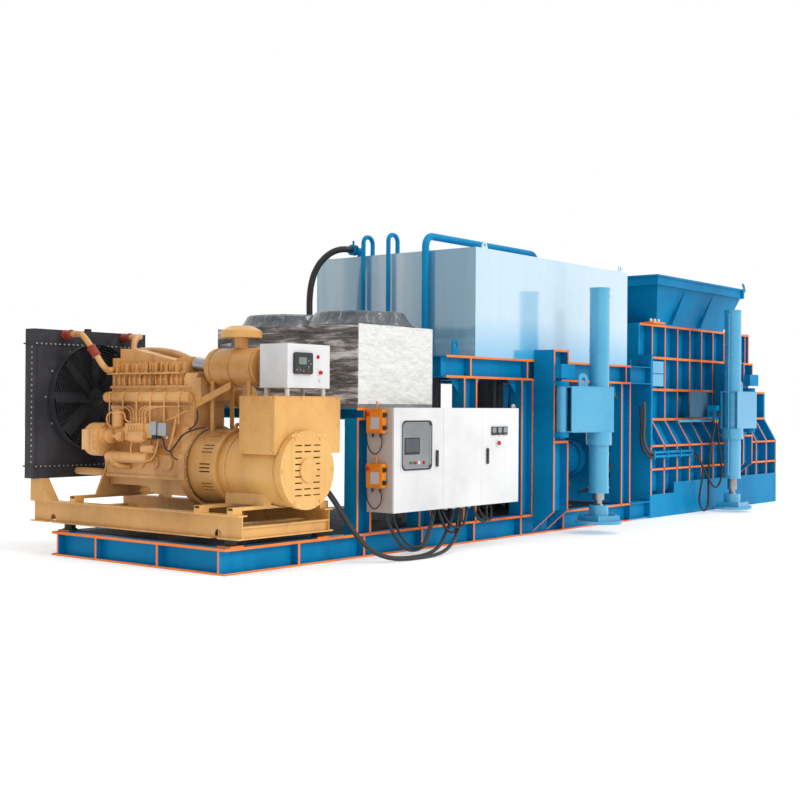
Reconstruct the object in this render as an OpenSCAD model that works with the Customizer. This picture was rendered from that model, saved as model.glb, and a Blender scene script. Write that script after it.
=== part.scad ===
/* [Machine] */
// Length of the power module base
power_len = 7950; // [7600:50:8600]
// Width of both modules
body_w = 2630; // [2500:10:2800]
// Length of the shear box module
box_len = 4680; // [4400:20:5200]
// Gap between the two modules
module_gap = 630; // [500:10:800]
// Overrun of every cut
cut = 4; // [2:1:8]
// Plate thickness of brackets, gussets and stiffeners
plate_t = 16; // [12:1:20]
// Sheet thickness of light casings
sheet_t = 4; // [3:0.5:6]
// Seat gap under a piece that another body carries
seat_gap = 0.3; // [0.2:0.1:0.5]
// Gap round doors, rods' collars and other moving pieces
run_gap = 3; // [2:0.5:5]

/* [Base frame] */
// Height of the base beams
beam_h = 250; // [220:5:300]
// Flange width of the base beams
beam_w = 180; // [160:5:200]
// Flange thickness of the beams
flange_t = 14; // [10:1:18]
// Web thickness of the beams
web_t = 10; // [8:1:14]
// Bays between the cross beams
base_bays = 6; // [6:1:8]
// Spacing of the outer stiffeners
stiff_pitch = 1020; // [800:20:1200]
// Spacing of the stiffeners on the short end
end_stiff_pitch = 950; // [850:10:1050]
// Thickness of the deck plate
deck_t = 6; // [4:1:10]
// Side of the square pads under the generator mounts
pad_s = 170; // [150:5:178]
// Thickness of those pads
pad_t = 15; // [10:1:20]

/* [Upper frame] */
// Height of the ring beam's underside
ring_z = 1958; // [1850:10:2050]
// Height of the ring beam
ring_h = 252; // [220:4:280]
// Left end of the ring beam
ring_x = 3520; // [3400:10:3600]
// Width of a column along the machine
col_w = 260; // [220:5:300]
// Left edge of the first column
col_a_x = 3870; // [3800:10:3950]
// Left edge of the second column
col_b_x = 5110; // [5060:10:5110]
// Leg length of the corner gussets
gusset = 190; // [140:10:220]
// Width of the lifting lug
lug_w = 130; // [100:10:160]
// Height of the lifting lug
lug_h = 200; // [160:10:240]
// Hole radius of the lifting lug
lug_hole_r = 30; // [20:2:36]

/* [Generator skid] */
// Left edge of the skid
skid_x = 100; // [60:5:140]
// Outer width of the skid
skid_w = 1365; // [1300:5:1420]
// How far the skid overhangs the front of the base
skid_over = 70; // [40:5:90]
// Length of the skid beams across the machine
skid_len = 3230; // [3150:10:3300]
// Underside height of the skid above the base
skid_lift = 80; // [70:2:100]
// Height of the skid beams
skid_h = 235; // [215:5:260]
// Width of the skid beams
skid_beam_w = 125; // [110:5:140]
// Height of the skid's cross channels
skid_cross_h = 125; // [110:5:150]
// Width of the skid's cross channels
skid_cross_w = 80; // [60:5:100]
// Width of the arched lifting slots
fork_w = 90; // [70:5:110]
// Distance of the lifting slots from the beam ends
fork_in = 330; // [260:10:420]
// Radius of the rubber mounts
mount_r = 60; // [50:2:70]

/* [Engine] */
// Centre line of the crankshaft along the machine
gen_x = 800; // [780:5:820]
// Height of the crankshaft
crank_z = 985; // [970:5:1000]
// Rear face of the engine block, towards the alternator
eng_y = 1070; // [1060:5:1080]
// Length of the engine block
eng_len = 1320; // [1300:10:1340]
// Width of the crankcase
eng_w = 540; // [500:10:580]
// Underside of the crankcase
eng_z = 850; // [830:5:860]
// Top of the crankcase
eng_top = 1660; // [1640:5:1680]
// Depth of the oil pan below the crankcase
pan_d = 180; // [150:5:190]
// Height of the cylinder head
head_h = 160; // [140:5:180]
// Height of the ribbed rocker housing
rocker_h = 130; // [110:5:150]
// Width of the rocker housing
rocker_w = 420; // [380:10:440]
// Height of the finned top cover
cover_h = 110; // [90:5:130]
// Number of cylinders, one fin group each
cyl_n = 6; // [4:1:8]
// Thickness of the gear case
gear_t = 90; // [80:5:100]
// Radius of the flywheel housing
fly_r = 400; // [380:5:410]
// Length of the flywheel housing
fly_len = 90; // [80:5:100]
// Radius of the crankshaft
crank_r = 50; // [40:2:60]
// Running clearance of shafts in their bores, on the radius
run_fit = 0.05; // [0.02:0.01:0.08]
// Height of the fan shaft
fan_z = 1690; // [1670:5:1700]
// Radius of the fan shaft
fan_shaft_r = 20; // [16:1:26]
// Radius of the crank pulley
pulley_crank_r = 130; // [120:2:140]
// Radius of the fan pulley
pulley_fan_r = 105; // [95:1:115]
// Thickness of the belt
belt_t = 12; // [8:1:16]
// Width of the belt
belt_w = 50; // [40:2:60]
// Length from the oil pan to the front foot
foot_w = 380; // [340:10:420]

/* [Radiator] */
// Width of the radiator
rad_w = 1560; // [1500:10:1600]
// Front plane of the radiator
rad_y = 3000; // [2990:5:3010]
// Depth of the radiator
rad_d = 160; // [150:5:180]
// Underside of the radiator's feet
rad_z = 800; // [780:5:820]
// Top of the radiator
rad_top = 2438; // [2420:2:2460]
// Width of the side channels
rad_side = 70; // [60:5:80]
// Height of the top tank
rad_tank_h = 170; // [150:5:190]
// Height of the bottom tank above the feet
rad_bottom = 140; // [120:5:160]
// Radius of the fan shroud
shroud_r = 595; // [590:1:600]
// Length of the fan shroud
shroud_len = 100; // [90:5:110]
// Thickness of the shroud ring
shroud_t = 6; // [4:1:8]
// Number of wire rings in the fan guard
guard_rings = 15; // [10:1:20]
// Wire size of the fan guard
wire = 6; // [5:0.5:8]
// Radius of the fan
fan_r = 550; // [540:1:560]
// Number of fan blades
fan_blades = 8; // [6:1:10]
// Width of a fan blade
vane_w = 130; // [110:5:140]
// Pitch of the fan blades in degrees
blade_pitch = 28; // [20:1:32]

/* [Alternator] */
// Radius of the alternator barrel
alt_r = 365; // [355:1:370]
// Wall of the alternator barrel
alt_wall = 50; // [40:2:60]
// Front face of the louvred end cover
alt_y = -320; // [-330:5:-310]
// Thickness of the end cover
alt_cover_t = 70; // [60:2:80]
// Radius of the end cover
alt_cover_r = 388; // [382:1:392]
// Radius of the plain disc in the end cover
alt_disc_r = 118; // [100:2:130]
// Height of one louvre row
louvre_pitch = 38; // [34:1:44]
// Height of a louvre slot
louvre_h = 13; // [10:1:16]
// Length of a louvre slot
louvre_w = 100; // [90:2:110]
// Where the barrel ends and the fan housing starts
alt_ring_y = 560; // [540:5:580]
// Radius of the flange ring and fan housing
alt_ring_r = 400; // [396:1:406]
// Length of the alternator's feet
alt_foot_len = 540; // [480:10:580]
// Lid size of the terminal box along the machine
term_w = 960; // [900:10:980]
// Depth of the terminal box
term_d = 475; // [440:5:500]
// Left edge of the terminal box
term_x = 415; // [400:5:430]
// Underside of the terminal box
term_z = 1140; // [1120:5:1160]
// Top of the terminal box
term_top = 1705; // [1690:5:1720]

/* [Control box and air cleaner] */
// Width of the control box
ctl_w = 620; // [580:10:660]
// Depth of the control box
ctl_d = 375; // [340:5:400]
// Height of the control box
ctl_h = 435; // [410:5:450]
// Height of the dampers under the control box
ctl_lift = 85; // [70:5:95]
// Radius of the air cleaner
air_r = 198; // [185:1:205]
// Length of the air cleaner
air_len = 690; // [650:10:720]
// Height of the air cleaner's axis
air_z = 2000; // [1990:5:2010]
// Radius of the rain cap
cap_r = 210; // [190:5:225]
// Radius of the cap's stem
stem_r = 70; // [60:2:80]

/* [Cooler] */
// Left edge of the cooler
cool_x = 1925; // [1900:5:1950]
// Length of the cooler along the machine
cool_w = 1315; // [1250:5:1330]
// Depth of the cooler across the machine
cool_d = 2130; // [2050:10:2200]
// Underside of the cooler
cool_z = 1590; // [1580:5:1600]
// Height of the cooler
cool_h = 900; // [860:10:920]
// Radius of the cooler fans
cool_fan_r = 480; // [440:5:490]
// Height of the fan rings above the cooler
cool_ring_h = 140; // [120:5:160]
// Thickness of the wrapping film
film_t = 3; // [2:0.5:4]
// Width of a stand post along the machine
post_w = 230; // [200:5:250]
// Height of the stand's top beams
stand_h = 120; // [100:5:140]

/* [Cabinet] */
// Left edge of the cabinet
cab_x = 2044; // [2030:2:2060]
// Width of the left door
cab_left_w = 877; // [850:1:900]
// Width of the fixed middle panel
cab_mid_w = 744; // [720:2:780]
// Width of the right door
cab_right_w = 764; // [740:2:800]
// Front of the cabinet, ahead of the base
cab_front = 400; // [380:5:420]
// Depth of the cabinet
cab_d = 365; // [350:5:375]
// Underside of the cabinet
cab_z = 490; // [470:5:510]
// Height of the cabinet
cab_h = 1110; // [1060:10:1150]
// Thickness of the doors
door_t = 22; // [18:1:28]
// Window in the left door: left edge from the door's edge
win_x = 118; // [100:2:130]
// Width of the window
win_w = 550; // [500:10:580]
// Height of the window
win_h = 547; // [500:10:570]
// Underside of the window above the cabinet's
win_z = 434; // [420:2:450]
// Length of the door handles
handle_l = 170; // [150:5:190]
// Width of the door handles
handle_w = 30; // [24:2:36]
// Radius of the buttons
button_r = 15; // [11:1:18]
// Travel of the buttons
button_travel = 5; // [3:1:8]
// Height of the buttons above the cabinet's underside
button_z = 520; // [510:2:530]
// Side of the radio receivers
radio_s = 215; // [190:5:225]
// Height of the radio receivers
radio_h = 250; // [230:5:265]
// Thickness of the radio receivers
radio_t = 85; // [70:5:100]

/* [Tank] */
// Left edge of the tank
tank_x = 4090; // [4070:10:4110]
// Length of the tank
tank_len = 3750; // [3650:10:3800]
// Depth of the tank
tank_d = 2540; // [2500:10:2560]
// Height of the tank
tank_h = 1315; // [1250:5:1350]
// Radius of the big return pipe
return_r = 45; // [38:1:52]
// Radius of the vent pipes
vent_r = 28; // [22:1:32]
// Bend radius of the pipes, in pipe radii
bend_k = 3; // [2.5:0.25:3.5]

/* [Hydraulics] */
// Radius of the pump motors
motor_r = 235; // [220:5:250]
// Length of the pump motors
motor_len = 760; // [700:10:820]
// Length of the pumps
pump_len = 330; // [280:10:360]
// Radius of the pumps
pump_r = 120; // [100:5:130]
// Left end of the pump motors
motor_x = 5850; // [5820:10:5900]
// Distance of the pump motors from the middle of the machine
motor_off = 745; // [720:5:770]
// Outer radius of the main cylinder
main_r = 240; // [225:5:250]
// Bore radius of the main cylinder
main_bore = 190; // [180:5:200]
// Radius of the main cylinder's rod
main_rod = 110; // [95:5:120]
// Height of the main cylinder's axis
main_z = 850; // [830:5:870]
// Length of the main cylinder's barrel
main_len = 3560; // [3500:10:3600]
// Side of the main cylinder's square flange
main_flange = 640; // [600:10:680]
// Thickness of that flange
main_flange_t = 60; // [50:2:70]

/* [Shear box] */
// Depth of the ribs on the box walls
rib_d = 120; // [100:5:140]
// Thickness of the wall plates
wall_t = 20; // [14:1:24]
// Set-back of the upper wall
set_back = 210; // [190:5:230]
// Height of the lower fold
fold_a = 1066; // [1050:2:1080]
// Height of the upper fold
fold_b = 1430; // [1410:5:1450]
// Height of the box top
box_top = 2870; // [2800:10:2900]
// Height of the roof over the discharge end
end_top = 1900; // [1860:10:1940]
// Length of the low discharge end
end_len = 710; // [680:5:740]
// Spaces between the ribs
rib_bays = 11; // [9:1:13]
// Height of the plain skirt at the left end
skirt_a = 340; // [320:5:350]
// Height of the plain skirt further right
skirt_b = 500; // [480:5:520]
// Length of the low part of the skirt
skirt_len = 760; // [700:10:820]
// Height of the floor plate's top
floor_z = 420; // [410:5:430]
// Thickness of the floor plate
floor_t = 40; // [30:2:50]
// Thickness of the end plates
end_t = 50; // [40:2:60]
// Height of the lower wall's middle bar
bar_a = 705; // [690:5:720]
// Height of the upper wall's upper bar
bar_c = 2370; // [2340:10:2400]
// Thickness of the horizontal bars
bar_t = 22; // [16:1:28]
// Left edge of the hopper's throat from the box end
throat_x = 570; // [540:10:600]
// Length of the hopper's throat
throat_len = 2350; // [2250:10:2400]
// Length of the hopper's rim
rim_len = 3080; // [2980:10:3100]
// How far the rim stands out past the body on each side
rim_out = 86; // [70:2:100]
// Height of the hopper
hopper_h = 700; // [650:5:730]
// Height of the rim band
rim_h = 150; // [130:5:170]
// Thickness of the hopper plates
hopper_t = 14; // [10:1:18]
// Distance of the blade beam from the low end's step
knife_back = 190; // [170:5:210]
// Length of the blade beam along the machine
knife_w = 230; // [210:5:250]
// Height of the blade beam
knife_h = 357; // [340:1:370]
// Length of the pipes on the near wall
wall_pipe_len = 1208; // [1120:8:1216]
// Distance of the wall valve from the right leg
valve_gap = 280; // [270:5:300]

/* [Shear ram] */
// Length of the ram
ram_len = 950; // [900:10:1000]
// Height of the ram
ram_h = 900; // [870:5:915]
// Left end of the ram from the box end, drawn back
ram_x = 110; // [90:5:140]
// Thickness of the blades
blade_t = 60; // [50:2:70]
// Height of the blades
blade_h = 100; // [80:5:110]
// Blade segments across the box
blade_n = 4; // [3:1:6]
// Bolts in each blade segment
blade_bolts = 3; // [2:1:4]
// Radius of the blade bolts
blade_bolt_r = 14; // [10:1:16]

/* [Legs] */
// Left legs' pins from the base's left end
leg_a_x = 5480; // [5470:5:5490]
// Right legs' pins from the box module's left end
leg_b_x = 2690; // [2650:10:2720]
// Distance of the pins outside the body
pin_out = 360; // [355:1:365]
// Radius of the leg pins
pin_r = 40; // [34:1:44]
// Distance from pin to leg
arm_len = 650; // [630:5:670]
// Underside of the arm
arm_z = 1300; // [1290:5:1310]
// Height of the arm
arm_h = 580; // [560:5:590]
// Swing of the left legs at rest, in degrees
swing_a = 16; // [0:1:60]
// Outer radius of the leg barrel
barrel_r = 128; // [120:1:132]
// Bore radius of the leg barrel
barrel_bore = 95; // [88:1:100]
// Radius of the leg's rod
rod_r = 72; // [60:1:75]
// Bottom of the leg barrel
barrel_z = 517; // [510:1:530]
// Top of the leg barrel
barrel_top = 3155; // [3100:5:3200]
// Radius of the collar under the arm
collar_r = 165; // [155:1:170]
// Height of the collar
collar_h = 150; // [130:5:160]
// Foot height above the ground, left legs
foot_gap_a = 127; // [110:1:140]
// Foot height above the ground, right legs
foot_gap_b = 45; // [35:1:60]
// Radius of the foot disc
foot_r = 300; // [280:5:310]
// Thickness of the foot disc
foot_t = 40; // [30:1:50]
// Side of the square clamp plate
clamp_s = 380; // [350:5:400]
// Thickness of the clamp plate
clamp_t = 65; // [50:1:75]
// Height of the ball cup
cup_h = 130; // [125:1:135]
// Radius of the ball cup
cup_r = 125; // [120:1:135]
// Radius of the ball
ball_r = 80; // [76:1:84]
// Width of the leg mount along the machine
mount_w = 350; // [330:5:370]
// Depth of the leg mount
mount_d = 300; // [290:2:310]
// Top of the leg mount
mount_top = 2340; // [2300:10:2380]
// Thickness of the pin lugs
lug_t = 60; // [50:2:70]

/* [Hidden] */
$fn = 48;

// Left end of the box module, and its right end
box_x = power_len + module_gap;
box_end = box_x + box_len;
// Middle of the whole machine, where the origin stands on the ground
mid_x = box_end / 2;
mid_y = body_w / 2;
// Top of the base, of the deck and of the ring beam
base_top = beam_h;
deck_top = base_top + deck_t;
ring_top = ring_z + ring_h;
// Depth of a beam's outer half, from the flange edge to the web
half_flange = (beam_w - web_t) / 2;
// Middles of the skid's two beams, where its mounts stand
skid_mount_x = [skid_x + skid_beam_w / 2, skid_x + skid_w - skid_beam_w / 2];
// Right column of the upper frame
col_end_x = power_len - col_w;
// Left edges of the columns
columns = [col_a_x, col_b_x, col_end_x];
// Left edges of the cooler stand's posts
posts = [cool_x, cool_x + cool_w - post_w];
// Top of the cooler stand's posts
post_top = cool_z - stand_h;

// Moves the machine so that its middle stands on the origin
module place() { translate([-mid_x, -mid_y, 0]) children(); }
// A block from its low corner and its size
module blk(p, s) { translate(p) cube(s); }
// Outlines drawn across one axis and carried along it
module along_x(x, len) { translate([x, 0, 0]) rotate([90, 0, 90]) linear_extrude(len) children(); }
module along_y(y, len) { translate([0, y + len, 0]) rotate([90, 0, 0]) linear_extrude(len) children(); }
module along_z(z, len) { translate([0, 0, z]) linear_extrude(len) children(); }
// Round bars from a start point
module rod_x(p, r, len) { translate(p) rotate([0, 90, 0]) cylinder(r = r, h = len); }
module rod_y(p, r, len) { translate(p) rotate([-90, 0, 0]) cylinder(r = r, h = len); }
module rod_z(p, r, len) { translate(p) cylinder(r = r, h = len); }
// A child and its twin on the far side of the machine
module both_sides() {
  children();
  translate([0, body_w, 0]) mirror([0, 1, 0]) children();
}
// Outline of a rolled beam: width w, height h
module i_shape(w, h) {
  difference() {
    square([w, h]);
    translate([-cut, flange_t]) square([(w - web_t) / 2 + cut, h - 2 * flange_t]);
    translate([(w + web_t) / 2, flange_t]) square([(w - web_t) / 2 + cut, h - 2 * flange_t]);
  }
}
// Outline of a hollow rectangle with walls t
module tube_shape(w, h, t) {
  difference() {
    square([w, h]);
    translate([t, t]) square([w - 2 * t, h - 2 * t]);
  }
}
// Right-angled gusset outline with legs g, pointing right and down
module gusset_shape(g) { polygon([[0, 0], [g, 0], [0, -g]]); }
// A hex bolt head on top of a point
module bolt_z(p, r, h) { translate(p) cylinder(r = r, h = h, $fn = 6); }

// Base frame

module base_frame() color("steelblue") place() {
  both_sides() {
    along_x(0, power_len) i_shape(beam_w, beam_h);
    for (x = [stiff_pitch : stiff_pitch : power_len - beam_w])
      blk([x, 0, flange_t], [plate_t, half_flange, beam_h - 2 * flange_t]);
    for (x = skid_mount_x)
      blk([x - pad_s / 2, (beam_w - pad_s) / 2, base_top], [pad_s, pad_s, pad_t]);
  }
  for (i = [0 : base_bays])
    along_y(beam_w / 2, body_w - beam_w)
      translate([i * (power_len - beam_w) / base_bays, 0]) i_shape(beam_w, beam_h);
  for (y = [end_stiff_pitch : end_stiff_pitch : body_w - beam_w])
    blk([0, y, flange_t], [half_flange, plate_t, beam_h - 2 * flange_t]);
  along_x(beam_w / 2, power_len - beam_w) translate([mid_y - beam_w / 2, 0]) i_shape(beam_w, beam_h);
}

module deck_plate() color("steelblue") place()
  blk([beam_w, beam_w, base_top], [power_len - 2 * beam_w, body_w - 2 * beam_w, deck_t]);

// Upper frame of the power module

// A column with its flanges facing left and right
module column(x, w, z) {
  along_z(base_top, z - base_top) translate([x, 0]) mirror([1, -1]) i_shape(beam_w, w);
}

module lifting_lug(x) {
  along_y((beam_w - plate_t) / 2, plate_t) translate([x, ring_top]) difference() {
    union() {
      square([lug_w, lug_h - lug_w / 2]);
      translate([lug_w / 2, lug_h - lug_w / 2]) circle(r = lug_w / 2);
    }
    translate([lug_w / 2, lug_h - lug_w / 2]) circle(r = lug_hole_r);
  }
}

module power_frame() color("steelblue") place() {
  both_sides() {
    along_x(ring_x, power_len - ring_x) translate([0, ring_z]) i_shape(beam_w, ring_h);
    for (x = columns) {
      column(x, col_w, ring_z);
      along_y((beam_w - plate_t) / 2, plate_t) translate([x, ring_z]) {
        mirror([1, 0]) gusset_shape(gusset);
        if (x < col_end_x) translate([col_w, 0]) gusset_shape(gusset);
      }
      blk([x + (col_w - plate_t) / 2, 0, ring_z + flange_t], [plate_t, half_flange, ring_h - 2 * flange_t]);
    }
    lifting_lug(col_a_x - lug_w);
    for (x = posts) column(x, post_w, post_top);
    along_x(cool_x + post_w / 2, cool_w - post_w) translate([0, post_top]) i_shape(beam_w, stand_h);
  }
  for (x = [ring_x, col_b_x, power_len - beam_w])
    along_y(beam_w / 2, body_w - beam_w) translate([x, ring_z]) i_shape(beam_w, ring_h);
  for (x = posts)
    along_y(0, body_w) translate([x, post_top]) i_shape(post_w, stand_h);
  // Brackets that carry the cabinet, on the stand's right post and the first column
  for (z = [cab_z + cab_h * 0.15, cab_z + cab_h * 0.8], p = [[posts[1], post_w], [col_a_x, col_w]])
    blk([p[0], cab_d - cab_front, z], [p[1], cab_front - cab_d, plate_t * 4]);
}

// Links between the two modules

// Height of the lower link's underside, and of both links' end flanges
link_low = plate_t;
link_over = gusset / 2;

module module_links() color("steelblue") place() both_sides() {
  for (zh = [[link_low, beam_h - link_low], [ring_z, ring_h]]) {
    along_x(power_len, module_gap) translate([0, zh[0]]) i_shape(beam_w, zh[1]);
    for (x = [power_len, box_x - plate_t])
      blk([x, 0, zh[0]], [plate_t, beam_w, zh[1] + link_over]);
    for (x = [power_len + plate_t, box_x - 2 * plate_t], y = [beam_w / 4, beam_w * 3 / 4])
      rod_x([x, y, zh[0] + zh[1] + link_over / 2], plate_t, plate_t);
  }
}

// Leg mounts

// Heights of the mount's lower and upper shelf, round the arm and its lugs
mount_low = arm_z - run_gap - lug_t - plate_t - collar_h / 4;
mount_up = arm_z + arm_h + run_gap + lug_t + collar_h / 4;
// Depth of the recess in which the arm swings, measured from the body
mount_web = pin_out - barrel_r - 2 * plate_t;
// Left edge of the mount from the pin
mount_left = 90;
// Undersides of the mounts: front edge and back edge, left legs and right legs
foot_cut_a = [mount_d, plate_t * 3];
foot_cut_b = [mount_d + fold_a * 0.4, skirt_b];
// Radius of the pin lugs
lug_r = pin_r + plate_t * 3;

function box_wall(z) = z <= fold_a ? 0 : z >= fold_b ? set_back
  : set_back * (z - fold_a) / (fold_b - fold_a);

// Outline of a mount's side plate, with its recess if asked, and a straight or folded back
module mount_shape(low, folded, recess) {
  polygon(concat(
    [[0, low[1]], [-mount_d, low[0]]],
    recess ? [[-mount_d, mount_low], [-mount_web, mount_low], [-mount_web, mount_up], [-mount_d, mount_up]] : [],
    [[-mount_d, mount_top]],
    folded ? [[set_back, mount_top], [set_back, fold_b], [0, fold_a]] : [[0, mount_top]]));
}

// One mount with its pin at local zero, the body at local y = 0
module leg_mount(low, folded, open_left) {
  along_x(-mount_left, plate_t) mount_shape(low, folded, open_left);
  along_x(mount_w - mount_left - plate_t, plate_t) mount_shape(low, folded, true);
  for (z = [mount_low - plate_t, mount_up, mount_top - plate_t])
    blk([-mount_left, -mount_d, z], [mount_w, mount_d + (folded ? box_wall(z) : 0), plate_t]);
  blk([-mount_left, -mount_web, low[0]], [mount_w, plate_t, mount_top - low[0]]);
  blk([-mount_left + plate_t / 2, -pin_out - lug_r / 2, mount_up],
      [mount_w - plate_t, pin_out + lug_r / 2 - mount_d, (mount_top - mount_up) / 2]);
  for (z = [arm_z - run_gap - lug_t, arm_z + arm_h + run_gap])
    along_z(z, lug_t) {
      translate([0, -pin_out]) circle(r = lug_r);
      translate([-lug_r, -pin_out]) square([2 * lug_r, pin_out - mount_web]);
    }
  rod_z([0, -pin_out, arm_z - run_gap - lug_t - plate_t], pin_r, arm_h + 2 * lug_t + 2 * run_gap + plate_t);
}

module leg_mounts() color("steelblue") place() both_sides() {
  translate([leg_a_x, 0, 0]) leg_mount(foot_cut_a, false, false);
  translate([box_x + leg_b_x, 0, 0]) leg_mount(foot_cut_b, true, true);
}

// Generator set: skid and mounts

skid_z = base_top + skid_lift;
skid_top = skid_z + skid_h;
skid_y = -skid_over;
// Thickness of the pads under the alternator's cross channel
cross_pad = skid_lift / 2;
alt_rail_z = skid_top + cross_pad + plate_t * 2;
// Near edges of the rails across the skid
rail_y = [0, alt_foot_len - skid_cross_w, eng_y + eng_len];

module genset_skid() color("goldenrod") place() {
  for (x = [skid_x, skid_x + skid_w - skid_beam_w]) difference() {
    along_y(skid_y, skid_len) translate([x, skid_z]) i_shape(skid_beam_w, skid_h);
    for (y = [skid_y + fork_in, skid_y + skid_len - fork_in])
      translate([x - cut, y, skid_z + fork_w / 2]) {
        rotate([0, 90, 0]) cylinder(r = fork_w / 2, h = skid_beam_w + 2 * cut);
        translate([0, -fork_w / 2, -fork_w / 2 - cut]) cube([skid_beam_w + 2 * cut, fork_w, fork_w / 2 + cut]);
      }
  }
  for (y = [skid_y, alt_y + alt_foot_len, eng_y, eng_y + eng_len / 2, skid_y + skid_len - skid_cross_w])
    along_x(skid_x + skid_beam_w / 2, skid_w - skid_beam_w)
      translate([y, skid_z]) i_shape(skid_cross_w, skid_cross_h);
  // Rails under the alternator and the engine's feet, on pads on the skid
  difference() {
    for (y = rail_y) along_x(skid_x, skid_w)
      translate([y, skid_top + cross_pad]) tube_shape(skid_cross_w, plate_t * 2, sheet_t);
    rod_y([gen_x, -cut, crank_z], alt_r + sheet_t * 2 + seat_gap, alt_foot_len + 2 * cut);
  }
  for (y = rail_y, x = [skid_x, skid_x + skid_w - skid_beam_w])
    blk([x, y, skid_top], [skid_beam_w, skid_cross_w, cross_pad]);
  // Stands that carry the radiator
  for (x = [skid_x, skid_x + skid_w - skid_beam_w])
    along_x(x, skid_beam_w) polygon([[skid_y + skid_len, skid_top], [skid_y + skid_len, rad_z],
      [skid_y + skid_len - rad_d, rad_z], [skid_y + skid_len - rad_d - pan_d, skid_top]]);
}

module skid_mounts() color("dimgray") place() both_sides() for (x = skid_mount_x) {
  rod_z([x, beam_w / 2, base_top + pad_t], mount_r, skid_lift - pad_t);
  rod_z([x, beam_w / 2, base_top + pad_t], mount_r + plate_t, plate_t);
}

// Generator set: engine

eng_end = eng_y + eng_len;
cyl_pitch = eng_len / cyl_n;
head_top = eng_top + head_h;
rocker_top = head_top + rocker_h;
cover_z = rocker_top + sheet_t;
cover_top = cover_z + cover_h;
housing_y = eng_y - fly_len;
gear_y = eng_end + gear_t;
// Radius of the flywheel housing and clearance round the flywheel
housing_r = fly_r + plate_t * 2;
// Left side of the block
eng_left = gen_x - eng_w / 2;

// Plate that carries the front of the engine on its rail
module engine_feet() along_y(eng_end + skid_cross_w / 2 - plate_t, plate_t * 2) translate([gen_x, 0])
  polygon([[-eng_w * 0.42, crank_z], [-foot_w, alt_rail_z + plate_t], [-foot_w, alt_rail_z],
    [foot_w, alt_rail_z], [foot_w, alt_rail_z + plate_t], [eng_w * 0.42, crank_z]]);

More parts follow.
